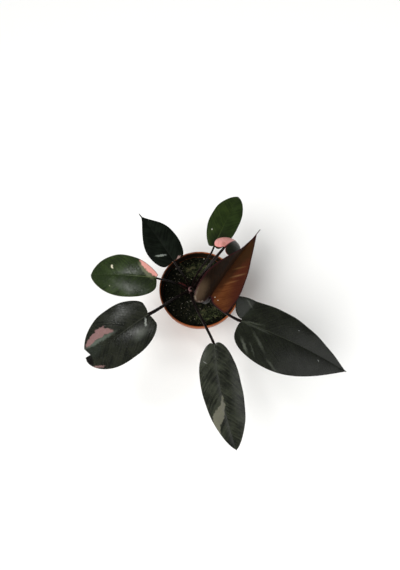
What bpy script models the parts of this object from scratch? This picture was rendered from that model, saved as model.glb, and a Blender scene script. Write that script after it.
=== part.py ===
"""Small philodendron in a round nursery pot: pot, soil, moss, one short stem and eight leaves.

Every size is in metres and every angle in degrees. The origin is the centre of the pot's base,
+Z is up and -Y is the front. Touching pieces are kept apart by CLEARANCE.
"""

import math

import bpy
import numpy as np
from mathutils import Vector
from mathutils.geometry import delaunay_2d_cdt

# ---- shared fits -------------------------------------------------------------
CLEARANCE = 0.0003

# ---- pot ---------------------------------------------------------------------
POT_RIM_RADIUS = 0.060
POT_BASE_RADIUS = 0.041
POT_HEIGHT = 0.090
POT_WALL = 0.0016
POT_FLOOR = 0.0022
POT_BASE_FILLET = 0.003
COLLAR_HEIGHT = 0.013
COLLAR_STEP = 0.0016
COLLAR_TAPER = 0.0008
LIP_RADIUS = 0.0011
POT_SEGMENTS = 64
DRAIN_HOLES = 6
DRAIN_HOLE_RADIUS = 0.004
DRAIN_RING_RADIUS = 0.029

# ---- soil and moss -----------------------------------------------------------
SOIL_BELOW_RIM = 0.012
SOIL_DOME = 0.0012
SOIL_WAVE = 0.0007
SOIL_WAVELENGTH = 0.041
SOIL_RINGS = 9
MOSS_THICKNESS = 0.0022
MOSS_EDGE = 0.0008
MOSS_GAP = CLEARANCE + 0.0001
# name, centre x, centre y, half length, half width, turn
MOSS_PATCHES = (
    ("moss_patch_back", -0.004, 0.034, 0.020, 0.0105, 8),
    ("moss_patch_front", 0.016, -0.036, 0.022, 0.0095, 20),
    ("moss_patch_right", 0.040, 0.002, 0.013, 0.0085, 80),
)

# ---- stem --------------------------------------------------------------------
STEM_X = -0.0127
STEM_Y = -0.0017
STEM_RADIUS = 0.0042
STEM_ABOVE_SOIL = 0.0135
STEM_IN_SOIL = 0.014
STEM_NODE_BULGE = 0.0007
STEM_NODES = 3
STEM_SIDES = 20

# ---- dried sheath beside the stem -------------------------------------------
SHEATH_LENGTH = 0.019
SHEATH_HALF_WIDTH = 0.0030
SHEATH_THICKNESS = 0.0007
SHEATH_AZIMUTH = 148
SHEATH_RISE = 16
SHEATH_CURL = 46
SHEATH_ABOVE_SOIL = 0.0030

# ---- leaves ------------------------------------------------------------------
BLADE_THICKNESS = 0.0008
MIDRIB_EXTRA = 0.0010
MIDRIB_WIDTH = 0.0016
BLADE_SPACING = 0.0085
PETIOLE_SIDES = 10
PETIOLE_STEPS = 14
SINUS_MARGIN = 0.0005

# Each half of a blade runs: neck, lobe behind the neck, widest place, tip.
#   width: midrib to edge; widest: place along the length (share of it); lobe: reach behind
#   the neck (share of length); lobe_at: how far out the lobe's back is (share of width);
#   square: 1 is an elliptical shoulder, more is leaner; full, point: fullness and sharpness
#   of the front end; fold: how far this half tilts up from the midrib.
# Each blade also has the place of its neck, above the rim, its heading, turn and pitch.
# Each petiole leaves the stem at `leave` (azimuth, rise), `below_top` under the stem's top; one
# with 0 there stands on the top itself.
LEAVES = (
    dict(
        name="left",
        neck=(-0.0588, -0.0003, 0.042),
        length=0.097,
        heading=174,
        turn=0,
        pitch=(5, -20),
        roll=(0, 0),
        curl=20,
        drip=0.0005,
        left=dict(width=0.031, widest=0.42, lobe=0.015, lobe_at=0.40, square=1.0,
                  full=1.05, point=0.75, fold=8),
        right=dict(width=0.0315, widest=0.58, lobe=0.015, lobe_at=0.15, square=1.8,
                   full=1.10, point=0.75, fold=8),
        leave=(164, 40),
        below_top=0.0035,
        reach=(0.024, 0.022),
        arrive=(0, 24),
        thickness=(0.0019, 0.0014, 0.0014),
    ),
    dict(
        name="back_left",
        neck=(-0.0358, 0.0244, 0.045),
        length=0.093,
        heading=125,
        turn=0,
        pitch=(10, -12),
        roll=(0, 0),
        curl=16,
        drip=0.005,
        left=dict(width=0.024, widest=0.27, lobe=0.025, lobe_at=0.50, square=1.0,
                  full=0.95, point=1.35, fold=8),
        right=dict(width=0.0225, widest=0.27, lobe=0.02, lobe_at=0.50, square=1.0,
                   full=1.10, point=1.55, fold=8),
        leave=(116, 62),
        below_top=0.0060,
        reach=(0.022, 0.018),
        arrive=(0, 48),
        thickness=(0.0019, 0.0014, 0.0014),
    ),
    dict(
        name="back",
        neck=(0.0206, 0.0475, 0.042),
        length=0.094,
        heading=66,
        turn=0,
        pitch=(10, -14),
        roll=(0, 0),
        curl=20,
        drip=0.0005,
        left=dict(width=0.024, widest=0.45, lobe=0.015, lobe_at=0.30, square=1.7,
                  full=1.30, point=0.68, fold=6),
        right=dict(width=0.020, widest=0.45, lobe=0.015, lobe_at=0.30, square=1.2,
                   full=1.30, point=0.68, fold=6),
        leave=(72, 58),
        below_top=0.0070,
        reach=(0.034, 0.026),
        arrive=(0, 40),
        thickness=(0.0019, 0.0014, 0.0014),
    ),
    dict(
        name="small_pink",
        neck=(0.0319, 0.0255, 0.084),
        length=0.042,
        heading=50,
        turn=0,
        pitch=(-15, -72),
        roll=(0, 0),
        curl=30,
        drip=0.0005,
        left=dict(width=0.0215, widest=0.35, lobe=0.12, lobe_at=0.50, square=1.0,
                  full=1.0, point=0.90, fold=-5),
        right=dict(width=0.018, widest=0.35, lobe=0.12, lobe_at=0.50, square=1.0,
                   full=1.0, point=0.90, fold=-5),
        leave=(36, 62),
        below_top=0.0025,
        reach=(0.040, 0.028),
        arrive=(-4, 20),
        thickness=(0.0023, 0.0019, 0.0017),
    ),
    dict(
        name="bronze",
        neck=(0.0127, -0.0432, 0.090),
        length=0.107,
        heading=57,
        turn=-7,
        pitch=(5, 5),
        roll=(12, 32),
        curl=20,
        drip=0.006,
        left=dict(width=0.029, widest=0.16, lobe=0.15, lobe_at=0.50, square=1.0,
                  full=1.0, point=1.60, fold=52),
        right=dict(width=0.030, widest=0.14, lobe=0.06, lobe_at=0.80, square=1.0,
                   full=1.0, point=1.05, fold=6),
        leave=(300, 74),
        below_top=0.0,
        reach=(0.040, 0.030),
        arrive=(0, 58),
        thickness=(0.0026, 0.0020, 0.0017),
    ),
    dict(
        name="front_left",
        neck=(-0.0659, -0.0530, 0.048),
        length=0.101,
        heading=216,
        turn=0,
        pitch=(5, -25),
        roll=(0, 0),
        curl=25,
        drip=0.0005,
        left=dict(width=0.035, widest=0.42, lobe=0.03, lobe_at=0.50, square=1.1,
                  full=1.45, point=0.60, fold=8),
        right=dict(width=0.036, widest=0.42, lobe=0.03, lobe_at=0.50, square=1.1,
                   full=1.30, point=0.70, fold=8, tear=(0.925, 0.0022, 0.007)),
        leave=(210, 26),
        below_top=0.0060,
        reach=(0.026, 0.026),
        arrive=(0, 26),
        thickness=(0.0024, 0.0019, 0.0018),
    ),
    dict(
        name="front",
        neck=(0.0184, -0.0914, 0.048),
        length=0.129,
        heading=275,
        turn=14,
        pitch=(0, -20),
        roll=(0, 0),
        curl=40,
        drip=0.0005,
        left=dict(width=0.027, widest=0.42, lobe=0.01, lobe_at=0.20, square=1.2,
                  full=1.30, point=0.75, fold=10),
        right=dict(width=0.024, widest=0.42, lobe=0.01, lobe_at=0.20, square=1.2,
                   full=1.10, point=0.75, fold=10),
        leave=(273, 40),
        below_top=0.0050,
        reach=(0.026, 0.028),
        arrive=(14, 24),
        thickness=(0.0024, 0.0018, 0.0018),
    ),
    dict(
        name="right",
        neck=(0.0527, -0.0638, 0.055),
        length=0.151,
        heading=340,
        turn=-8,
        pitch=(0, -20),
        roll=(0, 0),
        curl=20,
        drip=0.0005,
        left=dict(width=0.034, widest=0.26, lobe=0.095, lobe_at=0.70, square=1.0,
                  full=1.0, point=1.10, fold=6),
        right=dict(width=0.045, widest=0.34, lobe=0.02, lobe_at=0.40, square=1.0,
                   full=1.0, point=1.0, fold=6),
        leave=(322, 42),
        below_top=0.0030,
        reach=(0.030, 0.024),
        arrive=(-6, 20),
        thickness=(0.0024, 0.0018, 0.0021),
    ),
)


# ---- scene and materials -----------------------------------------------------
for old in list(bpy.data.objects):
    bpy.data.objects.remove(old, do_unlink=True)


def material(name, hex_colour, roughness, subsurface=0.0):
    """A plain Principled material from an sRGB hex colour."""
    channels = [int(hex_colour[i:i + 2], 16) / 255 for i in (0, 2, 4)]
    linear = [c / 12.92 if c <= 0.04045 else ((c + 0.055) / 1.055) ** 2.4 for c in channels]
    made = bpy.data.materials.new(name)
    made.use_nodes = True
    shader = made.node_tree.nodes["Principled BSDF"]
    shader.inputs["Base Color"].default_value = (*linear, 1)
    shader.inputs["Roughness"].default_value = roughness
    shader.inputs["Subsurface Weight"].default_value = subsurface
    made.diffuse_color = (*linear, 1)
    return made


def add_object(name, vertices, faces, surface, smooth=True):
    """A mesh object with one material, in metres."""
    mesh = bpy.data.meshes.new(name)
    mesh.from_pydata([tuple(v) for v in vertices], [], [tuple(f) for f in faces])
    mesh.validate()
    mesh.materials.append(surface)
    for face in mesh.polygons:
        face.use_smooth = smooth
    made = bpy.data.objects.new(name, mesh)
    bpy.context.scene.collection.objects.link(made)
    return made


def cut_away(target, vertices, faces, name):
    """Cuts a hidden closed body out of the target."""
    cutter = add_object(name, vertices, faces, target.data.materials[0], smooth=False)
    cutter.hide_render = True
    cutter.display_type = "WIRE"
    modifier = target.modifiers.new(name, "BOOLEAN")
    modifier.operation = "DIFFERENCE"
    modifier.solver = "EXACT"
    modifier.object = cutter


def arc(centre, radius, start, end, steps):
    """Points (r, z) round an arc, angles in degrees."""
    angles = np.radians(np.linspace(start, end, steps + 1))
    return [(centre[0] + radius * math.cos(a), centre[1] + radius * math.sin(a)) for a in angles]


def lathe(profile, segments, centre=(0.0, 0.0)):
    """A closed body from a profile of (r, z) that starts and ends on the axis, low end first."""
    rings = profile[1:-1]
    vertices = []
    for r, z in rings:
        for i in range(segments):
            a = 2 * math.pi * i / segments
            vertices.append((centre[0] + r * math.cos(a), centre[1] + r * math.sin(a), z))
    last = (len(rings) - 1) * segments
    faces = [tuple(range(segments - 1, -1, -1)), tuple(range(last, last + segments))]
    for i in range(segments):
        j = (i + 1) % segments
        for k in range(len(rings) - 1):
            a = k * segments
            b = a + segments
            faces.append((a + i, a + j, b + j, b + i))
    return vertices, faces


# ---- pot ---------------------------------------------------------------------
def wall_radius(z):
    """Outer radius of the tapered wall under the collar."""
    top = POT_HEIGHT - COLLAR_HEIGHT
    under_collar = POT_RIM_RADIUS - COLLAR_TAPER - COLLAR_STEP
    return POT_BASE_RADIUS + (under_collar - POT_BASE_RADIUS) * z / top


def inner_radius(z):
    """Inner radius of the pot at a height, up to the collar."""
    return wall_radius(z) - POT_WALL


pot_plastic = material("terracotta_coloured_plastic", "8C4A22", 0.55)
collar_foot = POT_HEIGHT - COLLAR_HEIGHT
collar_outer = POT_RIM_RADIUS - COLLAR_TAPER
lip_z = POT_HEIGHT - LIP_RADIUS
pot_profile = [(0, 0)]
pot_profile += arc(
    (POT_BASE_RADIUS - POT_BASE_FILLET, POT_BASE_FILLET), POT_BASE_FILLET, -90, -12, 4
)
pot_profile += [(wall_radius(collar_foot), collar_foot)]
pot_profile += [(collar_outer - 0.0004, collar_foot)]
pot_profile += [(collar_outer, collar_foot + 0.0005)]
pot_profile += arc((POT_RIM_RADIUS - LIP_RADIUS, lip_z), LIP_RADIUS, 0, 180, 6)
pot_profile += [(collar_outer - POT_WALL, collar_foot + POT_WALL + 0.001)]
pot_profile += [(inner_radius(collar_foot), collar_foot)]
pot_profile += [(inner_radius(POT_FLOOR + 0.002), POT_FLOOR + 0.002)]
pot_profile += [(inner_radius(POT_FLOOR) - 0.0016, POT_FLOOR)]
pot_profile += [(0, POT_FLOOR)]
pot = add_object("pot", *lathe(pot_profile, POT_SEGMENTS), pot_plastic)
for index in range(DRAIN_HOLES):
    turn = 2 * math.pi * index / DRAIN_HOLES
    at = (DRAIN_RING_RADIUS * math.cos(turn), DRAIN_RING_RADIUS * math.sin(turn))
    hole = [(0, -0.002), (DRAIN_HOLE_RADIUS, -0.002), (DRAIN_HOLE_RADIUS, 0.004), (0, 0.004)]
    cut_away(pot, *lathe(hole, 16, at), f"drain_hole_{index + 1}")


# ---- soil and moss -----------------------------------------------------------
SOIL_TOP = POT_HEIGHT - SOIL_BELOW_RIM


def soil_height(x, y):
    """The soil's surface: slightly domed, with low waves."""
    k = 2 * math.pi / SOIL_WAVELENGTH
    dome = SOIL_DOME * (1 - (x * x + y * y) / POT_RIM_RADIUS ** 2)
    return SOIL_TOP + dome + SOIL_WAVE * math.sin(k * x + 1.0) * math.cos(k * y - 0.6)


peat = material("peat_soil", "1D1812", 0.95)
soil_floor = POT_FLOOR + CLEARANCE
soil_rim = inner_radius(SOIL_TOP) - CLEARANCE - 0.0012
soil_profile = [(0, soil_floor)]
soil_profile += [(inner_radius(POT_FLOOR) - 0.0025, soil_floor)]
soil_profile += [(inner_radius(soil_floor + 0.003) - CLEARANCE, soil_floor + 0.003)]
soil_profile += [(inner_radius(SOIL_TOP - 0.003) - CLEARANCE, SOIL_TOP - 0.003)]
soil_profile += [(soil_rim * k / SOIL_RINGS, SOIL_TOP) for k in range(SOIL_RINGS, 0, -1)]
soil_profile += [(0, SOIL_TOP)]
soil_vertices, soil_faces = lathe(soil_profile, POT_SEGMENTS)
soil_vertices = [
    (x, y, soil_height(x, y)) if z > SOIL_TOP - 0.0001 else (x, y, z) for x, y, z in soil_vertices
]
soil = add_object("potting_soil", soil_vertices, soil_faces, peat)
crown_foot = SOIL_TOP - STEM_IN_SOIL
pocket_radius = STEM_RADIUS + STEM_NODE_BULGE + CLEARANCE
pocket = [
    (0, crown_foot - CLEARANCE),
    (pocket_radius, crown_foot - CLEARANCE),
    (pocket_radius, SOIL_TOP + 0.006),
    (0, SOIL_TOP + 0.006),
]
cut_away(soil, *lathe(pocket, 24, (STEM_X, STEM_Y)), "stem_pocket")

moss_green = material("moss", "3C4A1E", 0.95, 0.1)
for name, cx, cy, half_length, half_width, turn in MOSS_PATCHES:
    rings = 3
    sides = 22
    across = math.radians(turn)
    lower, upper = [], []
    for k in range(1, rings + 1):
        share = k / rings
        for i in range(sides):
            a = 2 * math.pi * i / sides
            ragged = 1 + 0.09 * math.sin(3 * a + turn) + 0.06 * math.sin(5 * a)
            px = half_length * share * ragged * math.cos(a)
            py = half_width * share * ragged * math.sin(a)
            x = cx + px * math.cos(across) - py * math.sin(across)
            y = cy + px * math.sin(across) + py * math.cos(across)
            ground = soil_height(x, y) + MOSS_GAP
            lower.append((x, y, ground))
            swell = (MOSS_THICKNESS - MOSS_EDGE) * (1 - share ** 2.5)
            upper.append((x, y, ground + MOSS_EDGE + swell))
    ground = soil_height(cx, cy) + MOSS_GAP
    vertices = lower + upper + [(cx, cy, ground), (cx, cy, ground + MOSS_THICKNESS)]
    top = len(lower)
    faces = []
    for i in range(sides):
        j = (i + 1) % sides
        faces.append((len(vertices) - 2, j, i))
        faces.append((len(vertices) - 1, top + i, top + j))
        for k in range(rings - 1):
            a = k * sides
            b = a + sides
            faces.append((a + i, a + j, b + j, b + i))
            faces.append((top + a + i, top + b + i, top + b + j, top + a + j))
        edge = (rings - 1) * sides
        faces.append((edge + i, edge + j, top + edge + j, top + edge + i))
    add_object(name, vertices, faces, moss_green)


# ---- stem --------------------------------------------------------------------
stem_skin = material("stem_skin", "8A6A62", 0.5, 0.1)
stem_top = SOIL_TOP + STEM_ABOVE_SOIL
stem_length = stem_top - crown_foot


def stem_radius(z):
    """Radius of the stem between its nodes; it narrows by a tenth towards the top."""
    return STEM_RADIUS * (1 - 0.1 * (z - crown_foot) / stem_length)


stem_profile = [(0, crown_foot), (STEM_RADIUS * 0.8, crown_foot)]
for step in range(1, 13):
    share = step / 12
    wave = max(0.0, math.cos(2 * math.pi * STEM_NODES * share)) ** 3
    z = crown_foot + stem_length * share * 0.96
    stem_profile.append((stem_radius(z) + STEM_NODE_BULGE * wave * (share < 0.8), z))
stem_profile += [(STEM_RADIUS * 0.6, stem_top), (0, stem_top)]
add_object("stem", *lathe(stem_profile, STEM_SIDES, (STEM_X, STEM_Y)), stem_skin)


# ---- blades ------------------------------------------------------------------
def half_outline(leaf, half, neck):
    """One half of the flat outline as (u along the midrib, v away from it), neck to tip."""
    length, drip = leaf["length"], leaf["drip"]
    body = length - drip
    width = half["width"]
    widest = half["widest"] * length
    lobe = max(half["lobe"] * length, 0.001)
    lobe_at = max(half["lobe_at"] * width, neck * 1.4)
    points = []
    for angle in np.radians(np.linspace(0, 90, 6)[:-1]):
        points.append((-lobe * math.sin(angle), neck + (lobe_at - neck) * (1 - math.cos(angle))))
    for angle in np.radians(np.linspace(0, 90, 10)[:-1]):
        points.append(
            (-lobe + (widest + lobe) * (1 - math.cos(angle)),
             lobe_at + (width - lobe_at) * math.sin(angle) ** half["square"])
        )
    tip_width = 0.0005
    for share in np.linspace(0, 1, 16):
        reach = 1 - (1 - share) ** 1.4
        bow = math.cos(math.pi / 2 * reach ** half["full"])
        v = width * max(bow, 0.0) ** half["point"]
        points.append((widest + (body - widest) * reach, max(v, tip_width)))
    points.append((length, tip_width * 0.7))
    if "tear" in half:
        at, mouth, depth = half["tear"]
        middle = at * length
        before = [p for p in points if p[0] < middle - mouth]
        after = [p for p in points if p[0] > middle + mouth]
        v = np.interp([middle - mouth, middle, middle + mouth], *zip(*points[15:]))
        before += [(middle - mouth, v[0]), (middle - depth * 0.6, max(v[1] - depth, neck))]
        points = before + [(middle + mouth, v[2])] + after
    return points


def midrib(leaf):
    """Samples down the midrib: place, tangent, side (to the left) and upward normal."""
    steps = 160
    share = np.linspace(0, 1, steps + 1)
    pitch = np.radians(leaf["pitch"][0] + (leaf["pitch"][1] - leaf["pitch"][0]) * share)
    azimuth = np.radians(leaf["heading"] + leaf["turn"] * share)
    roll = np.radians(leaf["roll"][0] + (leaf["roll"][1] - leaf["roll"][0]) * share)
    tangent = np.stack(
        [np.cos(pitch) * np.cos(azimuth), np.cos(pitch) * np.sin(azimuth), np.sin(pitch)], -1
    )
    stride = leaf["length"] / steps
    neck = np.array(leaf["neck"]) + np.array([0, 0, POT_HEIGHT])
    place = np.vstack([neck, neck + np.cumsum((tangent[1:] + tangent[:-1]) / 2 * stride, 0)])
    level = np.stack([-np.sin(azimuth), np.cos(azimuth), 0 * azimuth], -1)
    upward = np.cross(tangent, level)
    side = np.cos(roll)[:, None] * level + np.sin(roll)[:, None] * upward
    normal = np.cos(roll)[:, None] * upward - np.sin(roll)[:, None] * level
    return share * leaf["length"], place, tangent, side, normal


def bend(leaf, rib, u, v):
    """The point of the bent blade that the flat point (u, v) goes to; v is positive to the left."""
    stations, place, tangent, side, normal = rib
    half = leaf["left"] if v >= 0 else leaf["right"]
    along = min(max(u, 0), leaf["length"])
    at = [np.array([np.interp(along, stations, row[:, k]) for k in range(3)])
          for row in (place, side, normal)]
    fold = math.radians(half["fold"])
    curl = math.radians(leaf["curl"]) / half["width"]
    out = abs(v)
    sideways = (math.sin(fold) - math.sin(fold - curl * out)) / curl
    upward = (math.cos(fold - curl * out) - math.cos(fold)) / curl
    behind = tangent[0] * min(u, 0)
    return at[0] + behind + at[1] * math.copysign(sideways, v) + at[2] * upward


def inside(polygon, u, v):
    """Whether a flat point lies inside the outline."""
    found = False
    for (u0, v0), (u1, v1) in zip(polygon, polygon[1:] + polygon[:1]):
        if (v0 > v) != (v1 > v) and u < (u1 - u0) * (v - v0) / (v1 - v0) + u0:
            found = not found
    return found


def edge_distance(polygon, u, v):
    """How far a flat point lies from the nearest outline point."""
    return min(math.hypot(u - pu, v - pv) for pu, pv in polygon)


def blade_mesh(leaf):
    """A closed thin body: outline triangulated flat, bent, then given thickness both ways."""
    neck = leaf["thickness"][2] + SINUS_MARGIN
    left = half_outline(leaf, leaf["left"], neck)
    right = half_outline(leaf, leaf["right"], neck)
    polygon = left + [(u, -v) for u, v in reversed(right)]
    count = len(polygon)
    points = [Vector(p) for p in polygon]
    edges = [(i, (i + 1) % count) for i in range(count)]
    ribs = int(leaf["length"] / BLADE_SPACING)
    rib_points = [leaf["length"] * (i + 0.5) / ribs for i in range(ribs - 1)]
    first = len(points)
    points += [Vector((u, 0)) for u in rib_points]
    edges += [(first + i, first + i + 1) for i in range(len(rib_points) - 1)]
    rows = int(0.05 / BLADE_SPACING) + 1
    for i in range(-4, ribs + 1):
        for k in range(-rows, rows + 1):
            u = (i + 0.5 + 0.5 * (k % 2)) * BLADE_SPACING
            v = k * BLADE_SPACING * 0.9
            if k and inside(polygon, u, v) and edge_distance(polygon, u, v) > BLADE_SPACING * 0.5:
                points.append(Vector((u, v)))
    flat, _, faces, *_ = delaunay_2d_cdt(points, edges, [tuple(range(count))], 1, 1e-7)
    rib = midrib(leaf)
    near = 0.0004
    upper, lower = [], []
    for u, v in flat:
        centre = bend(leaf, rib, u, v)
        along = bend(leaf, rib, u + near, v) - bend(leaf, rib, u - near, v)
        across = bend(leaf, rib, u, v + near) - bend(leaf, rib, u, v - near)
        normal = np.cross(along, across)
        normal /= np.linalg.norm(normal)
        rise = BLADE_THICKNESS / 2
        keel = rise + MIDRIB_EXTRA * math.exp(-(v / MIDRIB_WIDTH) ** 2) * (1 - u / leaf["length"])
        upper.append(centre + normal * rise)
        lower.append(centre - normal * (keel if u > -near else rise))
    top = len(upper)
    solid = []
    border = {}
    for face in faces:
        a, b, c = face
        if (flat[b] - flat[a]).cross(flat[c] - flat[a]) < 0:
            a, c = c, a
        solid.append((a, b, c))
        solid.append((top + c, top + b, top + a))
        for pair in ((a, b), (b, c), (c, a)):
            if border.pop((pair[1], pair[0]), None) is None:
                border[pair] = True
    for a, b in border:
        solid.append((b, a, top + a, top + b))
    return upper + lower, solid


# ---- petioles ----------------------------------------------------------------
def direction(azimuth, rise):
    a, r = math.radians(azimuth), math.radians(rise)
    return np.array([math.cos(a) * math.cos(r), math.sin(a) * math.cos(r), math.sin(r)])


def petiole_path(leaf):
    """Four control points of a cubic curve from the stem to the blade's neck."""
    foot, _, end = leaf["thickness"]
    out = direction(*leaf["leave"])
    if leaf["below_top"] == 0:
        start = np.array([STEM_X, STEM_Y, stem_top + CLEARANCE])
        start += np.array([0, 0, foot * math.cos(math.radians(leaf["leave"][1]))])
    else:
        radial = direction(leaf["leave"][0], 0)
        z = stem_top - leaf["below_top"]
        gap = stem_radius(z) + CLEARANCE + foot * math.sin(math.radians(leaf["leave"][1]))
        start = np.array([STEM_X, STEM_Y, z]) + radial * gap
    arrive_turn, arrive_rise = leaf["arrive"]
    into = direction(leaf["heading"] + arrive_turn, arrive_rise)
    blade = direction(leaf["heading"], leaf["pitch"][0])
    lean = math.sqrt(max(0.0, 1 - float(into @ blade) ** 2))
    neck = np.array(leaf["neck"]) + np.array([0, 0, POT_HEIGHT])
    finish = neck - blade * (CLEARANCE + 0.55 * end * lean) - np.array([0, 0, MIDRIB_EXTRA / 2])
    return start, start + out * leaf["reach"][0], finish - into * leaf["reach"][1], finish


def tube(path, radii):
    """A closed round body along a cubic curve; radii are foot, middle and end."""
    p0, p1, p2, p3 = path
    foot, middle, end = radii
    vertices = []
    for step in range(PETIOLE_STEPS + 1):
        t = step / PETIOLE_STEPS
        s = 1 - t
        place = s ** 3 * p0 + 3 * s * s * t * p1 + 3 * s * t * t * p2 + t ** 3 * p3
        ahead = s * s * (p1 - p0) + 2 * s * t * (p2 - p1) + t * t * (p3 - p2)
        ahead /= np.linalg.norm(ahead)
        side = np.cross(ahead, (0, 0, 1))
        side /= np.linalg.norm(side)
        up = np.cross(side, ahead)
        radius = middle + (foot - middle) * max(0, 1 - t * 4) + (end - middle) * max(0, t * 5 - 4)
        for i in range(PETIOLE_SIDES):
            a = 2 * math.pi * i / PETIOLE_SIDES
            vertices.append(place + radius * (side * math.cos(a) + up * math.sin(a)))
    faces = [tuple(range(PETIOLE_SIDES))]
    last = PETIOLE_STEPS * PETIOLE_SIDES
    faces.append(tuple(range(last + PETIOLE_SIDES - 1, last - 1, -1)))
    for step in range(PETIOLE_STEPS):
        a = step * PETIOLE_SIDES
        b = a + PETIOLE_SIDES
        for i in range(PETIOLE_SIDES):
            j = (i + 1) % PETIOLE_SIDES
            faces.append((a + i, b + i, b + j, a + j))
    return vertices, faces


blade_colours = {
    "left": "33452A",
    "back_left": "1C2420",
    "back": "37472B",
    "small_pink": "C98C84",
    "bronze": "5A3320",
    "front_left": "3A403C",
    "front": "444A42",
    "right": "3C4038",
}
petiole_skin = material("petiole_skin", "1E1A18", 0.4, 0.1)
for leaf in LEAVES:
    blade = material(f"{leaf['name']}_blade_skin", blade_colours[leaf["name"]], 0.4, 0.1)
    add_object(f"{leaf['name']}_leaf_blade", *blade_mesh(leaf), blade)
    add_object(f"{leaf['name']}_leaf_petiole", *tube(petiole_path(leaf), leaf["thickness"]),
               petiole_skin)


# ---- dried sheath ------------------------------------------------------------
def sheath_mesh():
    """A thin dry scale, boat-shaped across and hooked over at its tip."""
    rows, columns = 9, 6
    radial = direction(SHEATH_AZIMUTH, 0)
    across = direction(SHEATH_AZIMUTH + 90, 0)
    up = np.array([0, 0, 1.0])
    place = np.array([STEM_X, STEM_Y, SOIL_TOP + SHEATH_ABOVE_SOIL])
    place = place + radial * (STEM_RADIUS + CLEARANCE + SHEATH_THICKNESS)
    upper, lower = [], []
    for row in range(rows + 1):
        share = row / rows
        rise = math.radians(SHEATH_RISE - SHEATH_CURL * share * share)
        ahead = radial * math.cos(rise) + up * math.sin(rise)
        normal = up * math.cos(rise) - radial * math.sin(rise)
        half = SHEATH_HALF_WIDTH * (0.25 + 0.75 * math.sin(math.pi * (0.12 + 0.80 * share)))
        for column in range(columns + 1):
            w = 2 * column / columns - 1
            centre = place + across * (half * w) + normal * (half * 0.55 * w * w)
            upper.append(centre + normal * SHEATH_THICKNESS / 2)
            lower.append(centre - normal * SHEATH_THICKNESS / 2)
        place = place + ahead * (SHEATH_LENGTH / rows)
    top = len(upper)
    wide = columns + 1
    faces = []
    for row in range(rows):
        for column in range(columns):
            a = row * wide + column
            b = a + wide
            faces.append((a, b, b + 1, a + 1))
            faces.append((top + a, top + a + 1, top + b + 1, top + b))
    ring = [c for c in range(wide)]
    ring += [r * wide + columns for r in range(1, rows + 1)]
    ring += [rows * wide + c for c in range(columns - 1, -1, -1)]
    ring += [r * wide for r in range(rows - 1, 0, -1)]
    for a, b in zip(ring, ring[1:] + ring[:1]):
        faces.append((a, b, top + b, top + a))
    return upper + lower, faces


add_object("dried_sheath", *sheath_mesh(), material("dried_sheath_skin", "4A1B1C", 0.6))
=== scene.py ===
"""A small potted philodendron: nursery pot, peat soil, moss, one short stem and eight leaves.

Metres and degrees; +Z is up, -Y is the front, and the origin is the centre of the pot's base.
"""

import math
from functools import partial

import bmesh
import bpy
import numpy as np
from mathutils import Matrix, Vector, noise
from mathutils.geometry import delaunay_2d_cdt


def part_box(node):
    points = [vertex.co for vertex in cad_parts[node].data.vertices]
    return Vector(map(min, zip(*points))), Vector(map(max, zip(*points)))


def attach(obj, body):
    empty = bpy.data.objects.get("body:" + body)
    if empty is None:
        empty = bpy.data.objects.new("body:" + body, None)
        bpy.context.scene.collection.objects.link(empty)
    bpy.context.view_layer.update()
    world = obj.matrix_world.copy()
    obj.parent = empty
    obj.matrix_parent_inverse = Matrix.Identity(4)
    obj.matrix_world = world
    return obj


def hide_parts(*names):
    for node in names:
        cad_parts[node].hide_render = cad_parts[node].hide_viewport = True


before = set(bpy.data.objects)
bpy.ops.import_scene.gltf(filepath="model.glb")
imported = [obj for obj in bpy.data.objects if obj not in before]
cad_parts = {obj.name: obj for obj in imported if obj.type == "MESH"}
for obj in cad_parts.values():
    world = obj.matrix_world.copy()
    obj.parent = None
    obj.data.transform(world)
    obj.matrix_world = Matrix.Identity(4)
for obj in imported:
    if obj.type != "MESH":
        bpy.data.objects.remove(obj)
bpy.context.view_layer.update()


# ---- Pot ---------------------------------------------------------------------
# A round nursery pot, moulded in one piece from thin terracotta-coloured polypropylene. The wall
# tapers to the base, a plain collar stands out under the rounded lip, and six holes drain it.
def linear(hex_colour):
    """An sRGB hex colour as linear RGBA."""
    channels = [int(hex_colour[i:i + 2], 16) / 255 for i in (0, 2, 4)]
    return (*[c / 12.92 if c <= 0.04045 else ((c + 0.055) / 1.055) ** 2.4 for c in channels], 1)


def feed(node, inputs):
    """Sets a node's inputs, by name or in order: each is a value, an sRGB hex colour, a socket,
    or another node, whose first live output is taken."""
    pairs = inputs.items() if isinstance(inputs, dict) else enumerate(inputs)
    for key, value in pairs:
        if isinstance(value, bpy.types.Node):
            value = next(socket for socket in value.outputs if socket.enabled)
        if isinstance(value, bpy.types.NodeSocket):
            node.id_data.links.new(value, node.inputs[key])
        else:
            node.inputs[key].default_value = linear(value) if isinstance(value, str) else value


def add_node(tree, kind, inputs=(), **settings):
    """Adds a shader node with its settings and what feeds it."""
    made = tree.nodes.new("ShaderNode" + kind)
    for key, value in settings.items():
        setattr(made, key, value)
    feed(made, inputs)
    return made


def new_surface(name, **constants):
    """A material, what adds its nodes, and its shader with the sockets that stay the same."""
    made = bpy.data.materials.new(name)
    made.use_nodes = True
    shader = made.node_tree.nodes["Principled BSDF"]
    feed(shader, {key.replace("_", " "): value for key, value in constants.items()})
    return made, partial(add_node, made.node_tree), shader


def mesh_piece(name, vertices, faces, surfaces, face_surface=None):
    """A smooth-shaded mesh object with one or more materials."""
    mesh = bpy.data.meshes.new(name)
    mesh.from_pydata([tuple(v) for v in vertices], [], [tuple(int(i) for i in f) for f in faces])
    for surface in surfaces:
        mesh.materials.append(surface)
    if face_surface is not None:
        mesh.polygons.foreach_set("material_index", np.array(face_surface, np.int32))
    mesh.polygons.foreach_set("use_smooth", np.ones(len(mesh.polygons), bool))
    mesh.update()
    piece = bpy.data.objects.new(name, mesh)
    bpy.context.scene.collection.objects.link(piece)
    return piece


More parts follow.
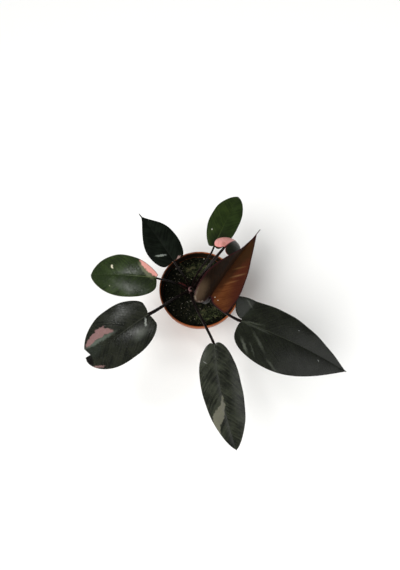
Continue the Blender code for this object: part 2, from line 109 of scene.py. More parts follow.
def seat(piece, node):
    """The piece rides with the plant and, when a part is named, stands for it and hides it."""
    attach(piece, "root")
    if node:
        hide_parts(node)


def arc(centre, radius, start, end, steps):
    """Points (r, z) round an arc."""
    angles = np.radians(np.linspace(start, end, steps + 1))
    return [(centre[0] + radius * math.cos(a), centre[1] + radius * math.sin(a)) for a in angles]


def turned(profile, segments, centre=(0.0, 0.0)):
    """Rings of vertices from a profile of (r, z) that runs up the outside, with quads between."""
    turn = 2 * np.pi * np.arange(segments) / segments
    vertices = [
        (centre[0] + r * math.cos(a), centre[1] + r * math.sin(a), z)
        for r, z in profile for a in turn
    ]
    faces = []
    for ring in range(len(profile) - 1):
        a = ring * segments
        for i in range(segments):
            j = (i + 1) % segments
            faces.append((a + i, a + j, a + segments + j, a + segments + i))
    return vertices, faces


def append_mesh(vertices, faces, more, more_faces):
    """Adds a loose body to a mesh in the making."""
    first = len(vertices)
    vertices += list(more)
    faces += [tuple(first + i for i in face) for face in more_faces]


POT_WALL = 0.0016
POT_FLOOR = 0.0022
FLOOR_FILLET = 0.0016
COLLAR_HEIGHT = 0.013
COLLAR_STEP = 0.0016
COLLAR_TAPER = 0.0008
COLLAR_FILLET = 0.0005
LIP_RADIUS = 0.0011
BASE_RADIUS = 0.041
BASE_FILLET = 0.003
DRAIN_HOLES = 6
DRAIN_RADIUS = 0.004
DRAIN_RING = 0.029
DRAIN_SIDES = 24
POT_SEGMENTS = 160
DARKENING_TOP = 0.0020
DARKENING_BOTTOM = 0.0055
DARKENING_RAGGED = 0.006

pot_low, pot_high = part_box("pot")
rim_radius = (pot_high[0] - pot_low[0]) / 2
rim_z = pot_high[2]
collar_foot = rim_z - COLLAR_HEIGHT
collar_outer = rim_radius - COLLAR_TAPER


def wall_radius(z):
    """Outer radius of the tapered wall under the collar."""
    return BASE_RADIUS + (collar_outer - COLLAR_STEP - BASE_RADIUS) * z / collar_foot


def inner_radius(z):
    """Inner radius of the pot under the collar."""
    return wall_radius(z) - POT_WALL


def pierced_disc(radius, z, facing_up):
    """The flat base with its drain holes, as triangles."""
    rim = [Vector((radius * math.cos(a), radius * math.sin(a)))
           for a in 2 * np.pi * np.arange(POT_SEGMENTS) / POT_SEGMENTS]
    points, edges = list(rim), [(i, (i + 1) % POT_SEGMENTS) for i in range(POT_SEGMENTS)]
    for hole in range(DRAIN_HOLES):
        first = len(points)
        turn = 2 * math.pi * hole / DRAIN_HOLES
        for a in 2 * np.pi * np.arange(DRAIN_SIDES) / DRAIN_SIDES:
            points.append(Vector((DRAIN_RING * math.cos(turn) + DRAIN_RADIUS * math.cos(a),
                                  DRAIN_RING * math.sin(turn) + DRAIN_RADIUS * math.sin(a))))
        edges += [(first + i, first + (i + 1) % DRAIN_SIDES) for i in range(DRAIN_SIDES)]
    flat, _, triangles, *_ = delaunay_2d_cdt(points, edges, [], 1, 1e-7)
    kept = []
    for triangle in triangles:
        middle = sum((flat[i] for i in triangle), Vector((0, 0))) / 3
        turn = round(math.atan2(middle.y, middle.x) / (2 * math.pi / DRAIN_HOLES))
        turn *= 2 * math.pi / DRAIN_HOLES
        hole = Vector((DRAIN_RING * math.cos(turn), DRAIN_RING * math.sin(turn)))
        if (middle - hole).length < DRAIN_RADIUS * 0.98:
            continue
        a, b, c = triangle
        if ((flat[b] - flat[a]).cross(flat[c] - flat[a]) > 0) != facing_up:
            a, c = c, a
        kept.append((a, b, c))
    return [(p.x, p.y, z) for p in flat], kept


# Moulded polypropylene, IOR 1.49, satin from the tool's fine stipple: a dull terracotta that
# keeps a soft highlight. The inner side of the collar is painted darker from about 2 mm under the
# rim, fully so by 5.5 mm, with a ragged edge, and dust lies in faint upright streaks outside.
pot_plastic, add, shader = new_surface("moulded_terracotta_polypropylene", IOR=1.49)
place = add("TexCoord").outputs["Object"]
mottle = add("TexNoise", {"Vector": place, "Scale": 55, "Detail": 4})
upright = add("Mapping", {"Vector": place, "Scale": (190, 190, 9)})
streaks = add("TexNoise", {"Vector": upright, "Scale": 1})
dusty = add("MapRange", {"Value": streaks, "From Min": 0.5, "From Max": 0.85, "To Max": 0.22})
x, y, z = add("SeparateXYZ", [place]).outputs
level = add("CombineXYZ", [x, y])
from_axis = add("VectorMath", [level], operation="LENGTH")
inner_side = add("MapRange", {
    "Value": from_axis, "From Min": collar_outer - 0.0004,
    "From Max": collar_outer - POT_WALL + 0.0002})
in_collar = add("Math", [z, collar_foot + 0.0003], operation="GREATER_THAN")
in_collar = add("Math", [inner_side, in_collar], operation="MULTIPLY")
# The inner side of the collar is painted darker with a ragged upper edge, from 2 mm under the rim.
ragged = add("TexNoise", {"Vector": place, "Scale": 240, "Detail": 5})
ragged = add("Math", [ragged, -DARKENING_RAGGED, z], operation="MULTIPLY_ADD")
darkening = add("MapRange", {
    "Value": ragged, "From Min": rim_z - DARKENING_TOP, "From Max": rim_z - DARKENING_BOTTOM},
    interpolation_type="SMOOTHSTEP")
darkened = add("Math", [in_collar, darkening], operation="MULTIPLY")
colour = "8A4824"
for share, over in ((mottle, "A95C30"), (dusty, "B98E70"), (darkened, "1C140C")):
    colour = add("Mix", {0: share, 6: colour, 7: over}, data_type="RGBA")
gloss = add("MapRange", {"Value": mottle, "To Min": 0.42, "To Max": 0.62})
# The tool's stipple is 0.3 mm from grain to grain.
stipple = add("TexNoise", {"Vector": place, "Scale": 3300, "Detail": 1})
relief = add("Bump", {"Height": stipple, "Strength": 0.12, "Distance": 0.0003})
feed(shader, {"Base Color": colour, "Roughness": gloss, "Normal": relief})

lip_z = rim_z - LIP_RADIUS
step_z = collar_foot - COLLAR_FILLET
floor_radius = inner_radius(POT_FLOOR) - FLOOR_FILLET
pot_profile = arc((BASE_RADIUS - BASE_FILLET, BASE_FILLET), BASE_FILLET, -90, -12, 8)
pot_profile += [(wall_radius(z), z) for z in np.linspace(2 * BASE_FILLET, step_z, 24)]
pot_profile += arc((wall_radius(collar_foot) + COLLAR_FILLET, step_z), COLLAR_FILLET, 180, 90, 3)
pot_profile += [(collar_outer - 0.0008, collar_foot)]
pot_profile += arc((collar_outer - COLLAR_FILLET, collar_foot + COLLAR_FILLET), COLLAR_FILLET,
                   -80, 0, 4)
pot_profile += [(collar_outer + COLLAR_TAPER * s, collar_foot + (lip_z - collar_foot) * s)
                for s in np.linspace(0.1, 0.95, 6)]
pot_profile += arc((rim_radius - LIP_RADIUS, lip_z), LIP_RADIUS, 0, 180, 12)
pot_profile += [(collar_outer - POT_WALL, collar_foot + POT_WALL + 0.001)]
pot_profile += [(inner_radius(collar_foot), collar_foot)]
pot_profile += [(inner_radius(z), z)
                for z in np.linspace(collar_foot - 0.004, 2 * BASE_FILLET, 16)]
pot_profile += [(floor_radius, POT_FLOOR)]
pot_vertices, pot_faces = turned(pot_profile, POT_SEGMENTS)
for disc_radius, disc_z, up in ((BASE_RADIUS - BASE_FILLET, 0.0, False),
                                (floor_radius, POT_FLOOR, True)):
    append_mesh(pot_vertices, pot_faces, *pierced_disc(disc_radius, disc_z, up))
for hole in range(DRAIN_HOLES):
    turn = 2 * math.pi * hole / DRAIN_HOLES
    centre = (DRAIN_RING * math.cos(turn), DRAIN_RING * math.sin(turn))
    tube = turned([(DRAIN_RADIUS, POT_FLOOR), (DRAIN_RADIUS, 0)], DRAIN_SIDES, centre)
    append_mesh(pot_vertices, pot_faces, *tube)
pot = mesh_piece("nursery_pot", pot_vertices, pot_faces, [pot_plastic])
pot.data.set_sharp_from_angle(angle=math.radians(50))
seat(pot, "pot")


# ---- Soil --------------------------------------------------------------------
# Peat-based potting compost: a dark, crumbly, slightly domed bed that fills the pot to 12 mm
# under the rim, with loose crumbs and short fibres lying on it.
SOIL_BELOW_RIM = 0.012
SOIL_DOME = 0.0012
SOIL_WAVE = 0.0007
SOIL_WAVELENGTH = 0.041
SOIL_GAP = 0.0003
SOIL_RINGS = 72
SOIL_SEGMENTS = 300
CRUMBS = 460
CRUMB_SHAPES = 40
FIBRES = 90
FIBRE_RADIUS = 0.00016
FIBRE_STEPS = 6
soil_top = rim_z - SOIL_BELOW_RIM


def soil_height(x, y):
    """The bed's level without its crumbs."""
    k = 2 * math.pi / SOIL_WAVELENGTH
    dome = SOIL_DOME * (1 - (x * x + y * y) / rim_radius ** 2)
    return soil_top + dome + SOIL_WAVE * math.sin(k * x + 1.0) * math.cos(k * y - 0.6)


def crumbled(x, y):
    """The bed's level with lumps of about 6 mm, 2.5 mm and 1 mm."""
    lumps = 0.0008 * noise.noise(Vector((x * 170, y * 170, 0.3)))
    lumps += 0.0006 * abs(noise.noise(Vector((x * 400, y * 400, 1.7))))
    return soil_height(x, y) + lumps + 0.0003 * noise.noise(Vector((x * 1000, y * 1000, 5.1)))


def grain_shapes(count, seed, detail):
    """Unit-sized lumpy grains, each its own shape, as (vertices, faces)."""
    ball = bmesh.new()
    bmesh.ops.create_icosphere(ball, subdivisions=detail, radius=1)
    points = np.array([v.co[:] for v in ball.verts])
    faces = [tuple(v.index for v in f.verts) for f in ball.faces]
    ball.free()
    pick = np.random.default_rng(seed)
    shapes = []
    for index in range(count):
        lump = np.array([1 + 0.75 * noise.noise(Vector(p * 1.4) + Vector((index * 3.1, seed, 0)))
                         for p in points])
        turn = np.linalg.qr(pick.normal(size=(3, 3)))[0]
        shapes.append((points * lump[:, None] * pick.uniform((0.8, 0.6, 0.5), 1.0)) @ turn.T)
    return shapes, faces


# Moist peat: matt, nearly black, with browner crumbs and a few straw-coloured flecks; the grain
# runs from 0.5 mm to 3 mm.
peat, add, shader = new_surface("moist_peat_compost", IOR=1.4, Roughness=0.9,
                                 Specular_IOR_Level=0.25)
place = add("TexCoord").outputs["Object"]
coarse = add("TexNoise", {"Vector": place, "Scale": 330, "Detail": 6, "Roughness": 0.65})
brown = add("MapRange", {"Value": coarse, "From Min": 0.42, "From Max": 0.72})
fine = add("TexVoronoi", {"Vector": place, "Scale": 1100})
fleck = add("MapRange", {
    "Value": fine.outputs["Color"], "From Min": 0.88, "From Max": 0.95, "To Max": 0.55})
colour = "080A06"
for share, over in ((brown, "25261A"), (fleck, "6E6247")):
    colour = add("Mix", {0: share, 6: colour, 7: over}, data_type="RGBA")
relief = add("Bump", {"Height": coarse, "Strength": 0.9, "Distance": 0.0012})
feed(shader, {"Base Color": colour, "Normal": relief})

soil_foot = POT_FLOOR + SOIL_GAP
soil_edge = inner_radius(soil_top) - SOIL_GAP
soil_profile = [(0.0001, soil_foot), (inner_radius(POT_FLOOR) - 0.0025, soil_foot)]
soil_profile += [(inner_radius(z) - SOIL_GAP, z) for z in (0.006, 0.03, soil_top - 0.003)]
soil_profile += [(soil_edge - 0.0006, soil_top)]
soil_profile += [(soil_edge * k / SOIL_RINGS, soil_top) for k in range(SOIL_RINGS - 1, 0, -1)]
soil_profile += [(0.0001, soil_top)]
soil_vertices, soil_faces = turned(soil_profile, SOIL_SEGMENTS)
soil_vertices = [(x, y, crumbled(x, y) if z > soil_top - 0.001 else z)
                 for x, y, z in soil_vertices]
pick = np.random.default_rng(5)
shapes, shape_faces = grain_shapes(CRUMB_SHAPES, 5, 2)
for index in range(CRUMBS):
    size = 0.0006 + 0.0017 * pick.random() ** 3
    reach = (soil_edge - 0.002) * math.sqrt(pick.random())
    turn = pick.uniform(0, 2 * math.pi)
    x, y = reach * math.cos(turn), reach * math.sin(turn)
    crumb = shapes[index % CRUMB_SHAPES] * size + (x, y, crumbled(x, y) + size * 0.35)
    append_mesh(soil_vertices, soil_faces, crumb, shape_faces)
for index in range(FIBRES):
    reach = (soil_edge - 0.006) * math.sqrt(pick.random())
    turn, heading = pick.uniform(0, 2 * math.pi, 2)
    length, bow = pick.uniform(0.004, 0.010), pick.uniform(-0.9, 0.9)
    x, y = reach * math.cos(turn), reach * math.sin(turn)
    first = len(soil_vertices)
    for step in range(FIBRE_STEPS + 1):
        x += length / FIBRE_STEPS * math.cos(heading + bow * step / 3)
        y += length / FIBRE_STEPS * math.sin(heading + bow * step / 3)
        held = min(1.0, (soil_edge - 0.001) / math.hypot(x, y))
        z = crumbled(x * held, y * held) + 0.0006
        for a in (0, 2.1, 4.2):
            soil_vertices.append((x * held - FIBRE_RADIUS * math.cos(a) * math.sin(heading),
                                  y * held + FIBRE_RADIUS * math.cos(a) * math.cos(heading),
                                  z + FIBRE_RADIUS * math.sin(a)))
    for step in range(FIBRE_STEPS):
        a = first + step * 3
        soil_faces += [(a + i, a + 3 + i, a + 3 + (i + 1) % 3, a + (i + 1) % 3) for i in range(3)]
soil = mesh_piece("peat_bed", soil_vertices, soil_faces, [peat])
seat(soil, "potting_soil")


# ---- Perlite -----------------------------------------------------------------
# White grains of expanded volcanic glass mixed into the compost, most of them half buried; the
# larger ones that show lie behind the stem.
PERLITE_SHOWN = ((-0.0366, 0.0357, 0.0013), (0.0071, 0.0525, 0.0011), (0.0102, 0.0493, 0.0014),
                 (0.0039, 0.0391, 0.0012), (-0.0349, 0.0273, 0.0010), (-0.031, 0.039, 0.0008))
PERLITE_STRAY = 210

# Perlite is a foam of glass, matt white with grey pores of about 0.4 mm and peat dust on it.
perlite, add, shader = new_surface("expanded_perlite", IOR=1.5, Roughness=0.85)
place = add("TexCoord").outputs["Object"]
dirt = add("TexNoise", {"Vector": place, "Scale": 700, "Detail": 3})
dusted = add("MapRange", {"Value": dirt, "From Min": 0.42, "From Max": 0.66})
white = add("Mix", {0: dusted, 6: "B9B2A4", 7: "5A4E40"}, data_type="RGBA")
pores = add("TexVoronoi", {"Vector": place, "Scale": 2400})
relief = add("Bump", {"Height": pores, "Strength": 0.7, "Distance": 0.0004})
feed(shader, {"Base Color": white, "Normal": relief})

pick = np.random.default_rng(23)
grains = list(PERLITE_SHOWN)
for index in range(PERLITE_STRAY):
    reach = (soil_edge - 0.004) * math.sqrt(pick.random())
    turn = pick.uniform(0, 2 * math.pi)
    grains.append((reach * math.cos(turn), reach * math.sin(turn), pick.uniform(0.0003, 0.0007)))
shapes, shape_faces = grain_shapes(len(grains), 9, 2)
vertices, faces = [], []
for (x, y, size), shape in zip(grains, shapes):
    grain = shape * size + (x, y, crumbled(x, y) + size * 0.3)
    append_mesh(vertices, faces, grain, shape_faces)
seat(mesh_piece("perlite_grains", vertices, faces, [perlite]), None)


# ---- Moss --------------------------------------------------------------------
# Three low cushions of living moss on the compost: a dense mat of upright shoots 2 to 3 mm tall,
# each with whorls of pointed leaflets.
MOSS_EDGE = 0.0008
MOSS_SWELL = 0.0012
MOSS_GAP = 0.0004
# node, name, centre x, centre y, half length, half width, turn, shoots
MOSS_PATCHES = (
    ("moss_patch_back", "moss_back", -0.004, 0.034, 0.020, 0.0105, 8, 1700),
    ("moss_patch_front", "moss_front", 0.016, -0.036, 0.022, 0.0095, 20, 1700),
    ("moss_patch_right", "moss_right", 0.040, 0.002, 0.013, 0.0085, 80, 1000),
)


def moss_spot(cx, cy, half_length, half_width, turn, share, a):
    """A place on a cushion: share of the way out to its ragged edge, in direction a."""
    ragged = 1 + 0.09 * math.sin(3 * a + turn) + 0.06 * math.sin(5 * a)
    px = half_length * share * ragged * math.cos(a)
    py = half_width * share * ragged * math.sin(a)
    across = math.radians(turn)
    return (cx + px * math.cos(across) - py * math.sin(across),
            cy + px * math.sin(across) + py * math.cos(across))


# Moss leaves are one cell thick, so light comes through them: a yellow-green top on dark, damp
# green. The tone changes from shoot to shoot, about 1.5 mm apart.
moss_green, add, shader = new_surface(
    "living_moss", IOR=1.4, Roughness=0.8, Specular_IOR_Level=0.3, Subsurface_Weight=0.15,
    Subsurface_Radius=(0.0004, 0.0008, 0.0002), Subsurface_Scale=1.0)
place = add("TexCoord").outputs["Object"]
shoot = add("TexNoise", {"Vector": place, "Scale": 620, "Detail": 3})
young = add("MapRange", {"Value": shoot, "From Min": 0.46, "From Max": 0.66})
patchy = add("TexNoise", {"Vector": place, "Scale": 130, "Detail": 2})
old = add("MapRange", {"Value": patchy, "From Min": 0.50, "From Max": 0.70, "To Max": 0.8})
colour = "0B0D07"
for share, over in ((young, "4B5236"), (old, "676547")):
    colour = add("Mix", {0: share, 6: colour, 7: over}, data_type="RGBA")
feed(shader, {"Base Color": colour})

pick = np.random.default_rng(41)
for node, name, *shape, shoots in MOSS_PATCHES:
    vertices, faces = [], []
    sides, rings = 48, 9
    for ring in range(rings + 1):
        share = ring / rings
        for i in range(sides):
            x, y = moss_spot(*shape, share, 2 * math.pi * i / sides)
            swell = MOSS_EDGE + MOSS_SWELL * (1 - share ** 2.5)
            lump = 0.0004 * noise.noise(Vector((x * 500, y * 500, 0)))
            vertices.append((x, y, soil_height(x, y) + MOSS_GAP + swell * (share < 1) + lump))
    for ring in range(rings):
        for i in range(sides):
            j = (i + 1) % sides
            a = ring * sides
            faces.append((a + i, a + sides + i, a + sides + j, a + j))
    for index in range(shoots):
        share = 1.7 * math.sqrt(pick.random())
        x, y = moss_spot(*shape, share, pick.uniform(0, 2 * math.pi))
        gap = noise.noise(Vector((x * 260, y * 260, 8.0)))
        if math.hypot(x, y) > soil_edge - 0.003 or gap < (share - 1.0) * 0.5:
            continue
        share = min(share, 1)
        foot = np.array([x, y, soil_height(x, y) + MOSS_GAP + 0.0003])
        lean = np.array([*pick.normal(0, 0.22, 2), 1.0])
        height = pick.uniform(0.0012, 0.0036) * (1 - 0.35 * share)
        start = pick.uniform(0, math.pi)
        for whorl in range(4):
            at = foot + lean * height * (whorl + 1) / 4
            spread = 0.00085 - 0.0001 * whorl
            for leaflet in range(4):
                a = start + whorl * 0.8 + leaflet * math.pi / 2
                out = np.array([math.cos(a), math.sin(a), 0.55])
                side = np.array([-math.sin(a), math.cos(a), 0]) * 0.00022
                tip = at + out * spread
                append_mesh(vertices, faces, (at - side, at + side, tip), [(0, 1, 2)])
    seat(mesh_piece(name, vertices, faces, [moss_green]), node)


# ---- Stem --------------------------------------------------------------------
# The plant's one short stem: fleshy, with swollen rings where older leaves were shed, set 14 mm
# deep in the compost. Each petiole grows from it.
STEM_X = -0.0127
STEM_Y = -0.0017
STEM_RADIUS = 0.0042
STEM_ABOVE_SOIL = 0.0135
STEM_IN_SOIL = 0.014
STEM_NODE_BULGE = 0.0007
STEM_NODES = 3
stem_top = soil_top + STEM_ABOVE_SOIL
stem_foot = soil_top - STEM_IN_SOIL
stem_length = stem_top - stem_foot


def stem_radius(z):
    """Radius between the nodes; it narrows by a tenth towards the top."""
    return STEM_RADIUS * (1 - 0.1 * (z - stem_foot) / stem_length)


# Plant skin over watery tissue, IOR 1.4: satin, dusky pink with brown cork where it is oldest.
stem_skin, add, shader = new_surface(
    "fleshy_stem_skin", IOR=1.4, Subsurface_Weight=0.12,
    Subsurface_Radius=(0.002, 0.0008, 0.0006), Subsurface_Scale=1.0)
place = add("TexCoord").outputs["Object"]
cork = add("TexNoise", {"Vector": place, "Scale": 260, "Detail": 5})
corky = add("MapRange", {"Value": cork, "From Min": 0.45, "From Max": 0.6})
skin = add("Mix", {0: corky, 6: "A0787A", 7: "4A3028"}, data_type="RGBA")
rough = add("MapRange", {"Value": cork, "To Min": 0.35, "To Max": 0.75})
relief = add("Bump", {"Height": cork, "Strength": 0.5, "Distance": 0.0008})
feed(shader, {"Base Color": skin, "Roughness": rough, "Normal": relief})

stem_profile = [(STEM_RADIUS * 0.05, stem_foot), (STEM_RADIUS * 0.8, stem_foot)]
for step in range(1, 49):
    share = step / 48
    wave = max(0.0, math.cos(2 * math.pi * STEM_NODES * share)) ** 3
    z = stem_foot + stem_length * share * 0.96
    stem_profile.append((stem_radius(z) + STEM_NODE_BULGE * wave * (share < 0.8), z))
stem_profile += [(STEM_RADIUS * 0.7, stem_top - 0.0003), (STEM_RADIUS * 0.4, stem_top),
                 (STEM_RADIUS * 0.02, stem_top)]
vertices, faces = turned(stem_profile, 48, (STEM_X, STEM_Y))
wobbled = []
for x, y, z in vertices:
    swell = 1 + 0.05 * noise.noise(Vector((x * 260, y * 260, z * 420)))
    wobbled.append((STEM_X + (x - STEM_X) * swell, STEM_Y + (y - STEM_Y) * swell, z))
seat(mesh_piece("short_stem", wobbled, faces, [stem_skin]), "stem")


# ---- Dried sheath ------------------------------------------------------------
# The papery scale that once wrapped a new leaf, now dry and dark red, curled down beside the
# stem and still held at its foot.
SHEATH_LENGTH = 0.019
SHEATH_HALF_WIDTH = 0.0030
SHEATH_THICKNESS = 0.0004
SHEATH_AZIMUTH = 148
SHEATH_RISE = 16
SHEATH_CURL = 46
SHEATH_ABOVE_SOIL = 0.0030


def direction(azimuth, rise):
    """A unit vector from a compass turn and a rise."""
    a, r = math.radians(azimuth), math.radians(rise)
    return np.array([math.cos(a) * math.cos(r), math.sin(a) * math.cos(r), math.sin(r)])


# Dry plant skin, thin and brittle: dark wine red with lighter ribs 0.5 mm apart along it.
sheath_skin, add, shader = new_surface("dried_sheath_paper", IOR=1.45, Roughness=0.6)
place = add("TexCoord").outputs["Object"]
along = add("Mapping", {
    "Vector": place, "Rotation": (0, 0, math.radians(-SHEATH_AZIMUTH)), "Scale": (160, 1900, 160)})
fibres = add("TexNoise", {"Vector": along, "Scale": 1, "Detail": 3})
dry = add("MapRange", {"Value": fibres, "From Min": 0.4, "From Max": 0.7})
paper = add("Mix", {0: dry, 6: "2A080B", 7: "582523"}, data_type="RGBA")
relief = add("Bump", {"Height": fibres, "Strength": 0.6, "Distance": 0.0005})
feed(shader, {"Base Color": paper, "Normal": relief})

rows, columns = 44, 16
radial, across = direction(SHEATH_AZIMUTH, 0), direction(SHEATH_AZIMUTH + 90, 0)
up = np.array([0, 0, 1.0])
spot = np.array([STEM_X, STEM_Y, soil_top + SHEATH_ABOVE_SOIL])
spot = spot + radial * (STEM_RADIUS + SHEATH_THICKNESS)
upper, lower = [], []
for row in range(rows + 1):
    share = row / rows
    rise = math.radians(SHEATH_RISE - SHEATH_CURL * share * share)
    ahead = radial * math.cos(rise) + up * math.sin(rise)
    normal = up * math.cos(rise) - radial * math.sin(rise)
    half = SHEATH_HALF_WIDTH * (0.25 + 0.75 * math.sin(math.pi * (0.12 + 0.80 * share)))
    half *= 1 + 0.10 * math.sin(share * 31) * share
    for column in range(columns + 1):
        w = 2 * column / columns - 1
        crimp = 0.0003 * math.sin(share * 23 + w * 2) * abs(w)
        middle = spot + across * (half * w) + normal * (half * 0.62 * w * w + crimp)
        upper.append(middle + normal * SHEATH_THICKNESS / 2)
        lower.append(middle - normal * SHEATH_THICKNESS / 2)
    spot = spot + ahead * (SHEATH_LENGTH / rows)
top, wide = len(upper), columns + 1
faces = []
for row in range(rows):
    for column in range(columns):
        a = row * wide + column
        faces.append((a, a + wide, a + wide + 1, a + 1))
        faces.append((top + a, top + a + 1, top + a + wide + 1, top + a + wide))
ring = list(range(wide)) + [r * wide + columns for r in range(1, rows + 1)]
ring += [rows * wide + c for c in range(columns - 1, -1, -1)]
ring += [r * wide for r in range(rows - 1, 0, -1)]
faces += [(a, b, top + b, top + a) for a, b in zip(ring, ring[1:] + ring[:1])]
seat(mesh_piece("curled_sheath", upper + lower, faces, [sheath_skin]), "dried_sheath")


# ---- Leaf blades -------------------------------------------------------------
# Eight heart-shaped blades, each 0.7 mm thick with a groove over its midrib and a keel under it.
# They are one plant's leaves, variegated: dark green, bronze and pink, each in its own pattern.
BLADE_THICKNESS = 0.0007
EDGE_THICKNESS = 0.00022
EDGE_ROUNDING = 0.0016
MIDRIB_KEEL = 0.0010
KEEL_WIDTH = 0.0014
MIDRIB_GROOVE = 0.00045
GROOVE_WIDTH = 0.0010
VEIN_CUSHION = 0.00004
MARGIN_RIPPLE = 0.00035
RIPPLE_LENGTH = 0.031
RIPPLE_REACH = 0.014
TIP_HALF_WIDTH = 0.0008
TIP_END = 0.0005
BLADE_GRAIN = 0.0017
BORDER_INSET = 0.0008
VEIN_SPACING = 5.2
VEIN_SWEEP = 0.85
VEIN_CURVE = 0.011
THREADS_PER_VEIN = 5.0

# A blade starts at its neck, given from the centre of the rim. From there the midrib runs for
# length at heading, swings by turn and dips from pitch[0] to pitch[1]; roll tips it sideways,
# curl bends its edges down, and drip is the drawn-out end of the tip.
# The two halves of a blade, left and right of the midrib seen from the neck, run from the neck
# by the lobe behind it and the widest place to the tip. In each half: width, widest (share of
# the length), lobe (reach behind the neck), lobe_at (share of the width), square (how lean the
# shoulder is), full and point (shape of the front end), fold (tilt up from the midrib) and
# tear (share of the length, half its mouth, depth). A crease is a bend from one place to another
# and its slope.
# The stalk leaves the stem at leave (azimuth, rise), below_top under the stem's top, and meets
# the neck at arrive (turn from the heading, rise); reach is how firmly it holds either course,
# and thickness its radius at the foot, the middle and the end.
# deep and pale are the skin's tones on the left and right half, rib and margin the veins' and
# the edge's; rim is the margin's width in millimetres, gloss the roughness, veins how clearly
# they show, shine the specular level and relief the height of the skin's grain.
# A patch of colour is (u, v, half length, half width, turn, colour, strength, softness), in
# millimetres along the midrib and to the left of it. Most are flecks and variegation; those marked
# below are painted highlights and painted shade.
USUAL = dict(turn=0, roll=(0, 0), drip=0.0005, rim=0.8)
